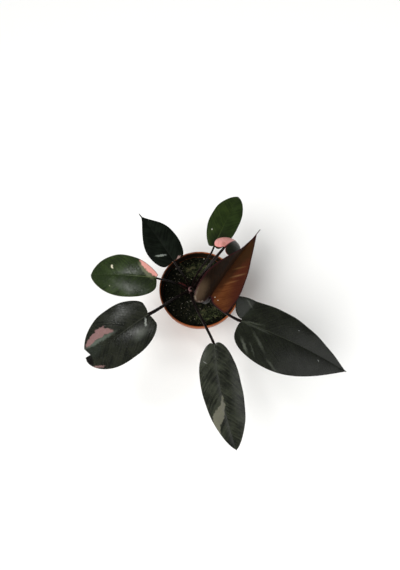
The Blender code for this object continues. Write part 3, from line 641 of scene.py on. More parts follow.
LEAVES = (
    dict(
        USUAL, name="left", slot="leaf_green",
        neck=(-0.0588, -0.0003, 0.042), length=0.097, heading=174, pitch=(5, -20), curl=20,
        left=dict(width=0.031, widest=0.42, lobe=0.015, lobe_at=0.40, square=1.0,
                  full=1.05, point=0.66, fold=8),
        right=dict(width=0.0315, widest=0.58, lobe=0.015, lobe_at=0.15, square=1.8,
                   full=1.10, point=0.66, fold=8),
        leave=(164, 40), below_top=0.0035, reach=(0.024, 0.022), arrive=(0, 24),
        thickness=(0.0019, 0.0014, 0.0014),
        deep=("19230F", "19230F"), pale=("2C3A19", "2C3A19"), rib="4A5533", margin="262813",
        gloss=0.26, veins=0.08, shine=0.46, relief=0.28,
        patches=(
            (86, 4, 20, 19, 0, "1E2A10", 0.7, 0.6),
            (16, 4, 22, 26, 0, "141B0D", 0.6, 0.8),
            (15.8, -8.6, 15, 3.6, -44, "6A6C54", 0.75, 0.35),
            (11.0, -16.8, 21, 8.3, -41, "DE9A90", 0.95, 0.12),
            (64.5, -11, 2.9, 1.1, -56, "D8D2B8", 0.9, 0.3),
            (62.5, 17, 0.8, 0.5, -56, "B9B79A", 0.8, 0.4),
        ),
    ),
    dict(
        USUAL, name="back_left", slot="leaf_dark",
        neck=(-0.0358, 0.0244, 0.045), length=0.093, heading=125, pitch=(10, -12), curl=16,
        drip=0.005,
        left=dict(width=0.0255, widest=0.27, lobe=0.025, lobe_at=0.50, square=1.0,
                  full=0.95, point=1.35, fold=8),
        right=dict(width=0.0240, widest=0.33, lobe=0.02, lobe_at=0.50, square=1.0,
                   full=1.25, point=1.55, fold=8),
        leave=(116, 62), below_top=0.0060, reach=(0.022, 0.018), arrive=(0, 48),
        thickness=(0.0019, 0.0014, 0.0014),
        deep=("080B07", "080B07"), pale=("141913", "141913"), rib="191C17", margin="0F0C0A",
        gloss=0.50, veins=0.02, shine=0.06, relief=0.25,
        patches=(
            (15.5, 11, 7.5, 1.3, 63, "7E847C", 0.85, 0.4),
            (-1, -7, 5, 1.8, -66, "9A7F78", 0.8, 0.35),
        ),
    ),
    dict(
        USUAL, name="back", slot="leaf_green",
        neck=(0.0206, 0.0475, 0.042), length=0.094, heading=66, pitch=(10, -14), curl=20,
        left=dict(width=0.024, widest=0.45, lobe=0.015, lobe_at=0.30, square=1.7,
                  full=1.30, point=0.68, fold=6),
        right=dict(width=0.020, widest=0.45, lobe=0.015, lobe_at=0.30, square=1.2,
                   full=1.30, point=0.68, fold=6),
        leave=(72, 58), below_top=0.0070, reach=(0.034, 0.026), arrive=(0, 40),
        thickness=(0.0019, 0.0014, 0.0014),
        deep=("1B260F", "1A240E"), pale=("2B3817", "273417"), rib="36431F", margin="1C2214",
        gloss=0.34, veins=0.05, shine=0.18, relief=0.25,
        patches=(
            (22.9, 13, 1.2, 0.5, 20, "D9D9CC", 0.95, 0.3),
            (10, -5, 22, 12, 0, "0F140B", 0.7, 0.6),
        ),
    ),
    dict(
        USUAL, name="small_pink", slot="leaf_pink",
        neck=(0.0319, 0.0255, 0.084), length=0.042, heading=50, pitch=(-15, -72), curl=30,
        left=dict(width=0.0190, widest=0.35, lobe=0.12, lobe_at=0.50, square=1.0,
                  full=1.0, point=0.90, fold=-5),
        right=dict(width=0.018, widest=0.35, lobe=0.12, lobe_at=0.50, square=1.0,
                   full=1.0, point=0.90, fold=-5),
        leave=(36, 62), below_top=0.0025, reach=(0.040, 0.028), arrive=(-4, 20),
        thickness=(0.0023, 0.0019, 0.0017),
        deep=("E0958E", "0E100A"), pale=("EAA8A2", "1A1E14"), rib="5A1F22", margin="8A4A48",
        gloss=0.38, veins=0.05, shine=0.2, relief=0.2,
        patches=(
            (30, -4, 12, 3, 0, "2A1713", 0.6, 0.5),
            (4, 4, 5, 3, 30, "A06A58", 0.5, 0.6),
        ),
    ),
    dict(
        USUAL, name="bronze", slot="leaf_bronze",
        neck=(0.0127, -0.0432, 0.090), length=0.107, heading=57, turn=-7, pitch=(5, 5),
        roll=(12, 32), curl=20, drip=0.006,
        left=dict(width=0.0285, widest=0.15, lobe=0.145, lobe_at=0.60, square=1.0,
                  full=1.0, point=2.1, fold=50),
        right=dict(width=0.030, widest=0.14, lobe=0.06, lobe_at=0.80, square=1.0,
                   full=1.0, point=1.05, fold=6),
        leave=(300, 74), below_top=0.0, reach=(0.040, 0.030), arrive=(0, 58),
        thickness=(0.0026, 0.0020, 0.0017),
        # The left half gets far darker browns than the right: painted shade on the half that turns
        # away from the light.
        deep=("150B04", "4A2510"), pale=("251609", "5E361C"), rib="2E170C", margin="32141A",
        rim=2.8, gloss=0.40, veins=0.07, shine=0.06, relief=0.10,
        patches=(
            (30, -24, 48, 10, 22, "3C160E", 0.8, 0.7),
            (-6, 20, 15, 9, 0, "5E4C3A", 0.75, 0.6),
            (-13, 22, 11, 2.6, 20, "8A7D6C", 0.5, 0.6),
            # These two pale lines are a pale margin with a painted edge highlight on it.
            (-12, 9.5, 8, 1.1, 121, "B4A793", 0.75, 0.5),
            (-12.5, 23, 6, 1.0, 73, "B4A793", 0.75, 0.5),
            # Dark red painted shade of the gap at the sinus, where the stalk passes under the
            # blade.
            (-2, -3, 4, 2.4, 0, "3A0C0E", 0.9, 0.4),
            # These two dark strips along the midrib soften the step between the painted-shade left
            # half and the right.
            (50, 4, 46, 5, 2, "2A1708", 0.6, 0.7),
            (50, -4, 50, 5.5, -3, "27150A", 0.85, 0.6),
            # These three golden wisps are painted highlights.
            (43, -14, 8, 0.9, -38, "8E6C48", 0.4, 0.9),
            (31, -12, 7, 0.8, -38, "7E5A38", 0.35, 0.9),
            (52, -10, 7, 0.8, -38, "7A5A34", 0.35, 0.9),
            (80, -7, 24, 9, -6, "33200C", 0.75, 0.6),
            (104, 0, 15, 8, 0, "130A07", 0.9, 0.5),
            # These white spots are painted glints where drops of water sit on the blade.
            (3, -5, 0.5, 0.4, 0, "D9D2C8", 1.0, 0.3),
            (2, -10, 0.5, 0.4, 0, "D9D2C8", 1.0, 0.3),
            (55, -25, 0.6, 0.4, 0, "E6E0D6", 1.0, 0.3),
        ),
    ),
    dict(
        USUAL, name="front_left", slot="leaf_grey_green",
        neck=(-0.0659, -0.0530, 0.048), length=0.101, heading=216, pitch=(5, -25), curl=25,
        left=dict(width=0.036, widest=0.38, lobe=0.015, lobe_at=0.45, square=1.3,
                  full=1.45, point=0.60, fold=12),
        right=dict(width=0.038, widest=0.42, lobe=0.02, lobe_at=0.42, square=1.3,
                   full=1.30, point=0.70, fold=12, tear=(0.955, 0.0028, 0.009)),
        leave=(210, 26), below_top=0.0060, reach=(0.026, 0.026), arrive=(0, 26),
        thickness=(0.0024, 0.0022, 0.0024),
        deep=("12140F", "12140F"), pale=("23251C", "23251C"), rib="33352B", margin="171511",
        gloss=0.25, veins=0.07, shine=0.42, relief=0.28,
        patches=(
            (84, -4, 12, 8, 0, "262B24", 0.7, 0.6),
            (70, -10, 20, 2.6, -8, "565E54", 0.8, 0.6),
            (58.5, -15.8, 12, 3.6, -37, "80625F", 0.95, 0.15),
            (73, -17.5, 17, 4.0, 11, "80625F", 0.95, 0.15),
            (64, -15, 8, 3.8, 0, "80625F", 0.95, 0.15),
            (90, 16.5, 9, 1.3, -32, "806461", 0.8, 0.4),
            # The next two paler patches are painted highlights: the sheen on either side of the
            # midrib.
            (30, -21, 14, 5, -10, "2C2F27", 0.4, 0.9),
            (22, 16, 9, 5, 20, "4A4E45", 0.75, 0.9),
            (9, 7, 5.5, 1.2, 60, "8E928B", 0.85, 0.4),
            (98, 4, 6.5, 9, -10, "080605", 0.97, 0.3),
        ),
    ),
    dict(
        USUAL, name="front", slot="leaf_grey_green",
        neck=(0.0184, -0.0914, 0.048), length=0.129, heading=275, turn=14, pitch=(0, -20), curl=40,
        left=dict(width=0.027, widest=0.42, lobe=0.01, lobe_at=0.20, square=1.2,
                  full=1.30, point=0.75, fold=14),
        right=dict(width=0.024, widest=0.33, lobe=0.0, lobe_at=0.20, square=1.4,
                   full=1.10, point=0.75, fold=14),
        leave=(273, 40), below_top=0.0050, reach=(0.026, 0.028), arrive=(14, 24),
        thickness=(0.0024, 0.0018, 0.0018),
        deep=("12140E", "12140E"), pale=("32352A", "32352A"), rib="34372D", margin="1B1A15",
        gloss=0.28, veins=0.08, shine=0.45, relief=0.28,
        patches=(
            # This patch is a painted highlight on the left shoulder.
            (16, -16, 11, 5, -60, "3E4138", 0.7, 0.9),
            (70, -1.8, 8, 1.5, -20, "666557", 0.95, 0.12),
            (78, -5.0, 9, 3.6, -36, "666557", 0.95, 0.12),
            (85, -9.5, 11, 6.3, -30, "666557", 0.95, 0.12),
            (98, -15.5, 11, 3.8, -8, "666557", 0.95, 0.12),
            (21.7, -14, 2.6, 0.3, 50, "8F9188", 0.9, 0.4),
        ),
    ),
    dict(
        USUAL, name="right", slot="leaf_grey_green",
        neck=(0.0527, -0.0638, 0.055), length=0.151, heading=340, turn=-8, pitch=(0, -20), curl=20,
        left=dict(width=0.034, widest=0.26, lobe=0.095, lobe_at=0.70, square=1.0,
                  full=1.0, point=1.10, fold=6),
        right=dict(width=0.045, widest=0.34, lobe=0.02, lobe_at=0.40, square=1.0,
                   full=1.0, point=1.0, fold=12),
        leave=(322, 42), below_top=0.0030, reach=(0.030, 0.024), arrive=(-6, 20),
        thickness=(0.0024, 0.0018, 0.0021),
        crease=((-0.0006, 0.001), (0.0084, 0.024), 0.45),
        deep=("13150F", "13150F"), pale=("1F2219", "1F2219"), rib="33362C", margin="171611",
        gloss=0.26, veins=0.04, shine=0.36, relief=0.20,
        patches=(
            (100, 0, 60, 50, 0, "10120D", 0.6, 0.7),
            # From here to the streak at (53, -39): the paler lobe and the light streaks are
            # painted highlights,
            # and the dark line at (9, 21) is painted shade in the lobe's crease.
            (0, 20, 9, 14, 20, "23271F", 0.6, 0.5),
            (3.4, 25, 6, 1.0, -34, "565A51", 0.5, 0.9),
            (9, 21, 13, 1.0, 46, "171915", 0.7, 0.5),
            (20, -1.5, 17, 1.1, -3, "4A4E44", 0.6, 0.8),
            (16, 3, 12, 1.0, 9, "43473D", 0.6, 0.5),
            (29, -18, 11, 1.6, -43, "50544A", 0.5, 0.9),
            (13.4, -29, 8.5, 1.7, -50, "5E6257", 0.6, 0.8),
            (24, -30, 9, 1.2, -50, "3A3E35", 0.7, 0.5),
            (53, -39, 8, 1.3, -29, "50544A", 0.45, 0.8),
            (72.4, 17, 0.7, 0.3, 30, "A9ACA4", 0.8, 0.4),
            (108.4, -7, 1.3, 0.35, -40, "A9ACA4", 0.8, 0.4),
        ),
    ),
)


def half_outline(leaf, half, neck):
    """One half of the flat outline as (u along the midrib, v away from it), neck to tip."""
    length = leaf["length"]
    body = length - leaf["drip"]
    width = half["width"]
    widest = half["widest"] * length
    lobe = max(half["lobe"] * length, 0.001)
    lobe_at = max(half["lobe_at"] * width, neck * 1.4)
    points = []
    for angle in np.radians(np.linspace(0, 90, 15)[:-1]):
        points.append((-lobe * math.sin(angle), neck + (lobe_at - neck) * (1 - math.cos(angle))))
    for angle in np.radians(np.linspace(0, 90, 29)[:-1]):
        points.append((-lobe + (widest + lobe) * (1 - math.cos(angle)),
                       lobe_at + (width - lobe_at) * math.sin(angle) ** half["square"]))
    shoulder = len(points)
    for share in np.linspace(0, 1, 48):
        reach = 1 - (1 - share) ** 1.4
        bow = max(math.cos(math.pi / 2 * reach ** half["full"]), 0.0)
        points.append((widest + (body - widest) * reach,
                       max(width * bow ** half["point"], TIP_HALF_WIDTH)))
    points.append((length, TIP_END))
    if "tear" in half:
        at, mouth, depth = half["tear"]
        middle = at * length
        before = [p for p in points if p[0] < middle - mouth]
        after = [p for p in points if p[0] > middle + mouth]
        v = np.interp([middle - mouth, middle, middle + mouth], *zip(*points[shoulder:]))
        before += [(middle - mouth, v[0]), (middle - depth * 0.6, max(v[1] - depth, neck))]
        points = before + [(middle + mouth, v[2])] + after
    return points


def midrib(leaf):
    """Samples down the midrib: place, tangent, side (to the left) and upward normal."""
    steps = 160
    share = np.linspace(0, 1, steps + 1)
    pitch = np.radians(leaf["pitch"][0] + (leaf["pitch"][1] - leaf["pitch"][0]) * share)
    azimuth = np.radians(leaf["heading"] + leaf["turn"] * share)
    roll = np.radians(leaf["roll"][0] + (leaf["roll"][1] - leaf["roll"][0]) * share)
    tangent = np.stack(
        [np.cos(pitch) * np.cos(azimuth), np.cos(pitch) * np.sin(azimuth), np.sin(pitch)], -1)
    stride = leaf["length"] / steps
    neck = np.array(leaf["neck"]) + np.array([0, 0, rim_z])
    place = np.vstack([neck, neck + np.cumsum((tangent[1:] + tangent[:-1]) / 2 * stride, 0)])
    level = np.stack([-np.sin(azimuth), np.cos(azimuth), 0 * azimuth], -1)
    upward = np.cross(tangent, level)
    side = np.cos(roll)[:, None] * level + np.sin(roll)[:, None] * upward
    normal = np.cos(roll)[:, None] * upward - np.sin(roll)[:, None] * level
    return share * leaf["length"], place, tangent, side, normal


def bend(leaf, rib, u, v):
    """Where the flat points (u, v) of a blade go; v is positive to the left."""
    stations, place, tangent, side, normal = rib
    along = np.clip(u, 0, leaf["length"])
    at, beside, above = (
        np.stack([np.interp(along, stations, row[:, k]) for k in range(3)], -1)
        for row in (place, side, normal))
    on_left = v >= 0
    fold = np.radians(np.where(on_left, leaf["left"]["fold"], leaf["right"]["fold"]))
    curl = math.radians(leaf["curl"]) / np.where(
        on_left, leaf["left"]["width"], leaf["right"]["width"])
    out = np.abs(v)
    sideways = np.where(on_left, 1, -1) * (np.sin(fold) - np.sin(fold - curl * out)) / curl
    upward = (np.cos(fold - curl * out) - np.cos(fold)) / curl
    behind = tangent[0] * np.minimum(u, 0)[:, None]
    return at + behind + beside * sideways[:, None] + above * upward[:, None]


def vein_phase(u, v):
    """Counts the side veins, which leave the midrib steeply and sweep towards the tip (mm)."""
    return (u - VEIN_SWEEP * np.abs(v) - VEIN_CURVE * v * v) / VEIN_SPACING


def waves(leaf, u, v, edge):
    """Relief of the living blade: midrib groove, cushions between veins, a wavy margin."""
    out = np.abs(v)
    fade = np.clip(out / 0.006, 0, 1) * np.clip(edge / 0.004, 0, 1)
    thinning = 1 - 0.8 * np.clip(u / leaf["length"], 0, 1)
    height = -MIDRIB_GROOVE * np.exp(-(v / GROOVE_WIDTH) ** 2) * thinning
    height += VEIN_CUSHION * fade * np.cos(2 * np.pi * vein_phase(u * 1000, v * 1000))
    near_edge = np.clip(1 - edge / RIPPLE_REACH, 0, 1) ** 2
    ripple = np.sin(2 * np.pi * u / RIPPLE_LENGTH + np.where(v > 0, 0.7, 2.9))
    height += MARGIN_RIPPLE * near_edge * ripple
    if "crease" in leaf:
        (u0, v0), (u1, v1), slope = leaf["crease"]
        span = math.hypot(u1 - u0, v1 - v0)
        behind = ((u1 - u0) * (v - v0) - (v1 - v0) * (u - u0)) / span
        height += slope * np.where(v > 0, np.sqrt(np.maximum(behind, 0) ** 2 + 1e-7) - 3e-4, 0)
    return height


def blade_mesh(leaf):
    """A closed thin body: outline triangulated flat, bent, then given thickness both ways."""
    neck = leaf["thickness"][2] + 0.0005
    left = half_outline(leaf, leaf["left"], neck)
    right = half_outline(leaf, leaf["right"], neck)
    outline = np.array(left + [(u, -v) for u, v in reversed(right)])
    count = len(outline)
    following = np.roll(outline, -1, 0)
    shares = np.linspace(0, 1, 5)[:-1, None, None]
    border_dots = (outline + shares * (following - outline)).reshape(-1, 2)

    def to_edge(points):
        return np.array([np.hypot(*(border_dots - p).T).min() for p in points])

    def inside(points):
        crossings = np.zeros(len(points), bool)
        for (u0, v0), (u1, v1) in zip(outline, following):
            spans = (v0 > points[:, 1]) != (v1 > points[:, 1])
            with np.errstate(divide="ignore", invalid="ignore"):
                cut = (u1 - u0) * (points[:, 1] - v0) / (v1 - v0) + u0
            crossings ^= spans & (points[:, 0] < cut)
        return crossings

    chord = following - np.roll(outline, 1, 0)
    outward = np.stack([chord[:, 1], -chord[:, 0]], -1)
    outward /= np.maximum(np.linalg.norm(outward, axis=1), 1e-9)[:, None]
    if (outward * (outline - outline.mean(0))).sum() < 0:
        outward = -outward
    inset = outline - outward * BORDER_INSET
    ribs = int(leaf["length"] / BLADE_GRAIN)
    rib_line = np.array([(leaf["length"] * (i + 0.5) / ribs, 0.0) for i in range(ribs - 1)])
    rows = int(0.05 / BLADE_GRAIN)
    k, i = np.meshgrid(np.arange(-rows, rows + 1), np.arange(-14, ribs + 4))
    grid = np.stack([(i + 0.5 + 0.5 * (k % 2)) * BLADE_GRAIN, k * BLADE_GRAIN * 0.87], -1)
    grid = grid[k != 0]
    grooves = np.array([(u, w) for u, _ in rib_line for w in (-0.0007, 0.0007)])
    kept = []
    for points, room in ((inset, 0.0006), (grid, BLADE_GRAIN * 0.75), (grooves, 0.0008)):
        points = points[inside(points)]
        kept.append(points[to_edge(points) > room])
    flat_points = [Vector(p) for p in np.vstack([outline, rib_line, *kept])]
    edges = [(i, (i + 1) % count) for i in range(count)]
    edges += [(count + i, count + i + 1) for i in range(len(rib_line) - 1)]
    flat, _, triangles, *_ = delaunay_2d_cdt(flat_points, edges, [tuple(range(count))], 1, 1e-7)
    flat = np.array([p[:] for p in flat])
    edge = to_edge(flat)
    rib = midrib(leaf)
    u, v = flat.T
    near = 0.0004

    def surface(u, v):
        middle = bend(leaf, rib, u, v)
        along = bend(leaf, rib, u + near, v) - bend(leaf, rib, u - near, v)
        sideways = bend(leaf, rib, u, v + near) - bend(leaf, rib, u, v - near)
        normal = np.cross(along, sideways)
        return middle, normal / np.linalg.norm(normal, axis=1)[:, None]

    middle, normal = surface(u, v)
    middle = middle + normal * waves(leaf, u, v, edge)[:, None]
    body = np.clip(edge / EDGE_ROUNDING, 0, 1) ** 0.5
    rise = (EDGE_THICKNESS + (BLADE_THICKNESS - EDGE_THICKNESS) * body) / 2
    keel = MIDRIB_KEEL * np.exp(-(v / KEEL_WIDTH) ** 2) * (1 - np.clip(u / leaf["length"], 0, 1))
    drop = rise + np.where(u > -near, keel, 0)
    vertices = np.vstack([middle + normal * rise[:, None], middle - normal * drop[:, None]])
    top = len(flat)
    a, b, c = np.array(triangles).T
    cross = (u[b] - u[a]) * (v[c] - v[a]) - (v[b] - v[a]) * (u[c] - u[a])
    a, c = np.where(cross < 0, c, a), np.where(cross < 0, a, c)
    above = np.stack([a, b, c], -1)
    below = np.stack([c, b, a], -1) + top
    border = {}
    for face in above:
        for pair in ((face[0], face[1]), (face[1], face[2]), (face[2], face[0])):
            if border.pop((pair[1], pair[0]), None) is None:
                border[pair] = True
    rim = [(b, a, top + a, top + b) for a, b in border]
    faces = [tuple(f) for f in above] + [tuple(f) for f in below] + rim
    side = [0] * len(above) + [1] * len(below) + [0] * len(rim)
    blade_place = np.stack([u, v, edge], -1) * 1000
    return vertices, faces, side, np.vstack([blade_place, blade_place])


def blade_pattern(add):
    """Where the finish is on the flat blade in millimetres, and its veins and threads."""
    place = add("Attribute", attribute_name="blade").outputs["Vector"]
    u, v, edge = add("SeparateXYZ", [place]).outputs
    out = add("Math", [v], operation="ABSOLUTE")
    flat = add("CombineXYZ", [u, v])
    drift = add("TexNoise", {"Vector": flat, "Scale": 0.16, "Detail": 3})
    drift = add("Math", [drift, 0.5], operation="SUBTRACT")
    bow = add("Math", [out, out], operation="MULTIPLY")
    sweep = add("Math", [out, -VEIN_SWEEP, u], operation="MULTIPLY_ADD")
    sweep = add("Math", [bow, -VEIN_CURVE, sweep], operation="MULTIPLY_ADD")
    phase = add("Math", [sweep, VEIN_SPACING], operation="DIVIDE")
    phase = add("Math", [drift, 0.7, phase], operation="MULTIPLY_ADD")
    vein = add("Math", [phase, 0.5], operation="PINGPONG")
    vein = add("MapRange", [vein, 0.10, 0.0], interpolation_type="SMOOTHSTEP")
    thread = add("Math", [phase, THREADS_PER_VEIN], operation="MULTIPLY")
    thread = add("Math", [thread, 0.5], operation="PINGPONG")
    thread = add("MapRange", [thread, 0.3, 0.0], interpolation_type="SMOOTHSTEP")
    return u, v, edge, out, flat, phase, vein, thread


# Waxy leaf skin, IOR 1.42, satin where it is dusty and brighter where it is clean. Side veins run
# 5.2 mm apart with threads 1 mm apart between them, and the variegation follows them in streaks.
def blade_skin(leaf):
    """The upper side of a blade."""
    made, add, shader = new_surface(
        f"waxy_leaf_{leaf['name']}", IOR=1.42, Specular_IOR_Level=leaf["shine"],
        Coat_Weight=0.12 * leaf["shine"], Coat_Roughness=0.22, Subsurface_Weight=0.06,
        Subsurface_Radius=(0.0010, 0.0012, 0.0004), Subsurface_Scale=1.0)
    u, v, edge, out, flat, phase, vein, thread = blade_pattern(add)
    across_veins = add("Math", [phase, 1.7], operation="MULTIPLY")
    along_veins = add("Math", [v, 0.06], operation="MULTIPLY")
    streak = add("CombineXYZ", [across_veins, along_veins])
    streak = add("TexNoise", {"Vector": streak, "Scale": 1.0, "Detail": 4, "Roughness": 0.6})
    cloud = add("TexNoise", {"Vector": flat, "Scale": 0.055, "Detail": 3})
    cloud = add("Math", [cloud, 0.4], operation="MULTIPLY")
    tone = add("Math", [streak, 0.6, cloud], operation="MULTIPLY_ADD")
    tone = add("MapRange", [tone, 0.40, 0.62], interpolation_type="SMOOTHSTEP")
    on_left = add("MapRange", [v, -0.35, 0.35], interpolation_type="SMOOTHSTEP")
    deep, pale = [add("Mix", {0: on_left, 6: right, 7: left}, data_type="RGBA")
                  for left, right in (leaf["deep"], leaf["pale"])]
    layers = [(tone, pale)]

    jitter = add("TexNoise", {"Vector": flat, "Scale": 0.35, "Detail": 4})
    jitter = add("VectorMath", [jitter.outputs["Color"], (0.5, 0.5, 0.5)], operation="SUBTRACT")
    jitter = add("VectorMath", [jitter, (5.0, 5.0, 0.0), flat], operation="MULTIPLY_ADD")
    # Each patch lays its colour on: flecks and variegation, and on some blades painted highlights
    # and painted shade.
    for at_u, at_v, half_length, half_width, turn, hue, strength, softness in leaf["patches"]:
        spot = add("Mapping", {
            "Vector": flat if half_width < 1.0 else jitter, "Location": (at_u, at_v, 0),
            "Rotation": (0, 0, math.radians(turn)), "Scale": (half_length, half_width, 1)},
            vector_type="TEXTURE")
        away = add("VectorMath", [spot], operation="LENGTH")
        share = add("MapRange", [away, 1 + softness, 1 - softness, 0, strength],
                    interpolation_type="SMOOTHSTEP")
        layers.append((share, hue))

    for lines, strength in ((thread, leaf["veins"] * 0.4), (vein, leaf["veins"])):
        lines = add("Math", [lines, strength], operation="MULTIPLY")
        layers.append((lines, leaf["rib"]))
    taper = add("Math", [u, -0.75 / (leaf["length"] * 1000), 1.0], operation="MULTIPLY_ADD")
    ridge = add("Math", [out, taper], operation="DIVIDE")
    ridge = add("MapRange", [ridge, 1.1, 0.35], interpolation_type="SMOOTHSTEP")
    fading = add("MapRange", [u, leaf["length"] * 700, -5.0, 0.15, 0.9],
                 interpolation_type="SMOOTHSTEP")
    ridge = add("Math", [ridge, fading], operation="MULTIPLY")
    border = add("MapRange", [edge, leaf["rim"], 0.1, 0, 0.8], interpolation_type="SMOOTHSTEP")
    layers += [(ridge, leaf["rib"]), (border, leaf["margin"])]
    colour = deep
    for share, over in layers:
        colour = add("Mix", {0: share, 6: colour, 7: over}, data_type="RGBA")

    dust = add("TexNoise", {"Vector": flat, "Scale": 0.12, "Detail": 5})
    matt = add("MapRange", [dust, 0.3, 0.75, leaf["gloss"] - 0.03, leaf["gloss"] + 0.06],
               interpolation_type="SMOOTHSTEP")
    cells = add("TexNoise", {"Vector": flat, "Scale": 2.4, "Detail": 3})
    height = add("Math", [thread, -0.2], operation="MULTIPLY")
    height = add("Math", [vein, -0.6, height], operation="MULTIPLY_ADD")
    height = add("Math", [cells, 0.35, height], operation="MULTIPLY_ADD")
    relief = add("Bump", {"Height": height, "Strength": leaf["relief"], "Distance": 0.0003})
    feed(shader, {"Base Color": colour, "Roughness": matt, "Normal": relief})
    return made


# The lower side has no wax: duller, greyer and redder, with the veins standing out pale.
def blade_underside(leaf):
    """The lower side of a blade."""
    made, add, shader = new_surface(f"leaf_underside_{leaf['name']}", IOR=1.40)
    *_, out, flat, _, vein, thread = blade_pattern(add)
    cloud = add("TexNoise", {"Vector": flat, "Scale": 0.09, "Detail": 4})
    tone = add("MapRange", [cloud, 0.35, 0.7], interpolation_type="SMOOTHSTEP")
    veined = add("Math", [vein, 0.5], operation="MULTIPLY")
    keel = add("MapRange", [out, 1.7, 0.7, 0, 0.85], interpolation_type="SMOOTHSTEP")
    pinkish = leaf["slot"] in ("leaf_pink", "leaf_bronze")
    colour, pale = ("5A3A30", "7A5648") if pinkish else ("3E4734", "57604A")
    for share, over in ((tone, pale), (veined, "8C8E74"), (keel, "A08A72")):
        colour = add("Mix", {0: share, 6: colour, 7: over}, data_type="RGBA")
    matt = add("MapRange", [cloud, 0.3, 0.7, 0.50, 0.66], interpolation_type="SMOOTHSTEP")
    height = add("Math", [thread, 0.25], operation="MULTIPLY")
    height = add("Math", [vein, 0.7, height], operation="MULTIPLY_ADD")
    relief = add("Bump", {"Height": height, "Strength": 0.5, "Distance": 0.0004})
    feed(shader, {"Base Color": colour, "Roughness": matt, "Normal": relief})
    return made


def store_places(piece, name, places):
    """Keeps a place for each vertex, which the finish is drawn by."""
    layer = piece.data.attributes.new(name, "FLOAT_VECTOR", "POINT")
    layer.data.foreach_set("vector", places.astype(np.float32).ravel())


for leaf in LEAVES:
    vertices, faces, side, places = blade_mesh(leaf)
    blade = mesh_piece(f"{leaf['name']}_leaf", vertices, faces,
                       [blade_skin(leaf), blade_underside(leaf)], side)
    store_places(blade, "blade", places)
    seat(blade, f"{leaf['name']}_leaf_blade")


# ---- Petioles ----------------------------------------------------------------
# The leaf stalks: firm round stalks 3 to 5 mm thick with a shallow channel on top, wider where
# they clasp the stem and where they meet the blade.
PETIOLE_SIDES = 28
PETIOLE_STEPS = 56
CHANNEL_DEPTH = 0.16
CHANNEL_WIDTH = 0.38
JOIN = 0.0003

# The same skin as the blades but nearly black, wine red in the channel, with grey-green streaks
# along the stalk that catch the light.
petiole_skin, add, shader = new_surface("petiole_skin", IOR=1.42, Specular_IOR_Level=0.22)
place = add("Attribute", attribute_name="stalk").outputs["Vector"]
stretched = add("VectorMath", [place, (0.09, 1.1, 1.1)], operation="MULTIPLY")
streak = add("TexNoise", {"Vector": stretched, "Scale": 1.0, "Detail": 4})
tone = add("MapRange", [streak, 0.42, 0.68], interpolation_type="SMOOTHSTEP")
upper = add("SeparateXYZ", [place]).outputs[2]
upper = add("MapRange", [upper, 0.2, 1.2, 0, 0.15], interpolation_type="SMOOTHSTEP")
colour = "080706"
for share, over in ((tone, "171613"), (upper, "26090C")):
    colour = add("Mix", {0: share, 6: colour, 7: over}, data_type="RGBA")
matt = add("MapRange", [streak, 0.3, 0.7, 0.20, 0.36], interpolation_type="SMOOTHSTEP")
relief = add("Bump", {"Height": streak, "Strength": 0.2, "Distance": 0.0004})
feed(shader, {"Base Color": colour, "Roughness": matt, "Normal": relief})


def petiole_path(leaf):
    """Four control points of a cubic curve from the stem to the blade's neck."""
    foot, _, end = leaf["thickness"]
    out = direction(*leaf["leave"])
    if leaf["below_top"] == 0:
        start = np.array([STEM_X, STEM_Y, stem_top])
        start += np.array([0, 0, foot * math.cos(math.radians(leaf["leave"][1])) - JOIN])
    else:
        z = stem_top - leaf["below_top"]
        gap = stem_radius(z) + foot * math.sin(math.radians(leaf["leave"][1])) - JOIN
        start = np.array([STEM_X, STEM_Y, z]) + direction(leaf["leave"][0], 0) * gap
    arrive_turn, arrive_rise = leaf["arrive"]
    into = direction(leaf["heading"] + arrive_turn, arrive_rise)
    blade = direction(leaf["heading"], leaf["pitch"][0])
    lean = math.sqrt(max(0.0, 1 - float(into @ blade) ** 2))
    neck = np.array(leaf["neck"]) + np.array([0, 0, rim_z])
    finish = neck - blade * (0.3 * end * lean - JOIN) - np.array([0, 0, MIDRIB_KEEL / 2])
    return start, start + out * leaf["reach"][0], finish - into * leaf["reach"][1], finish


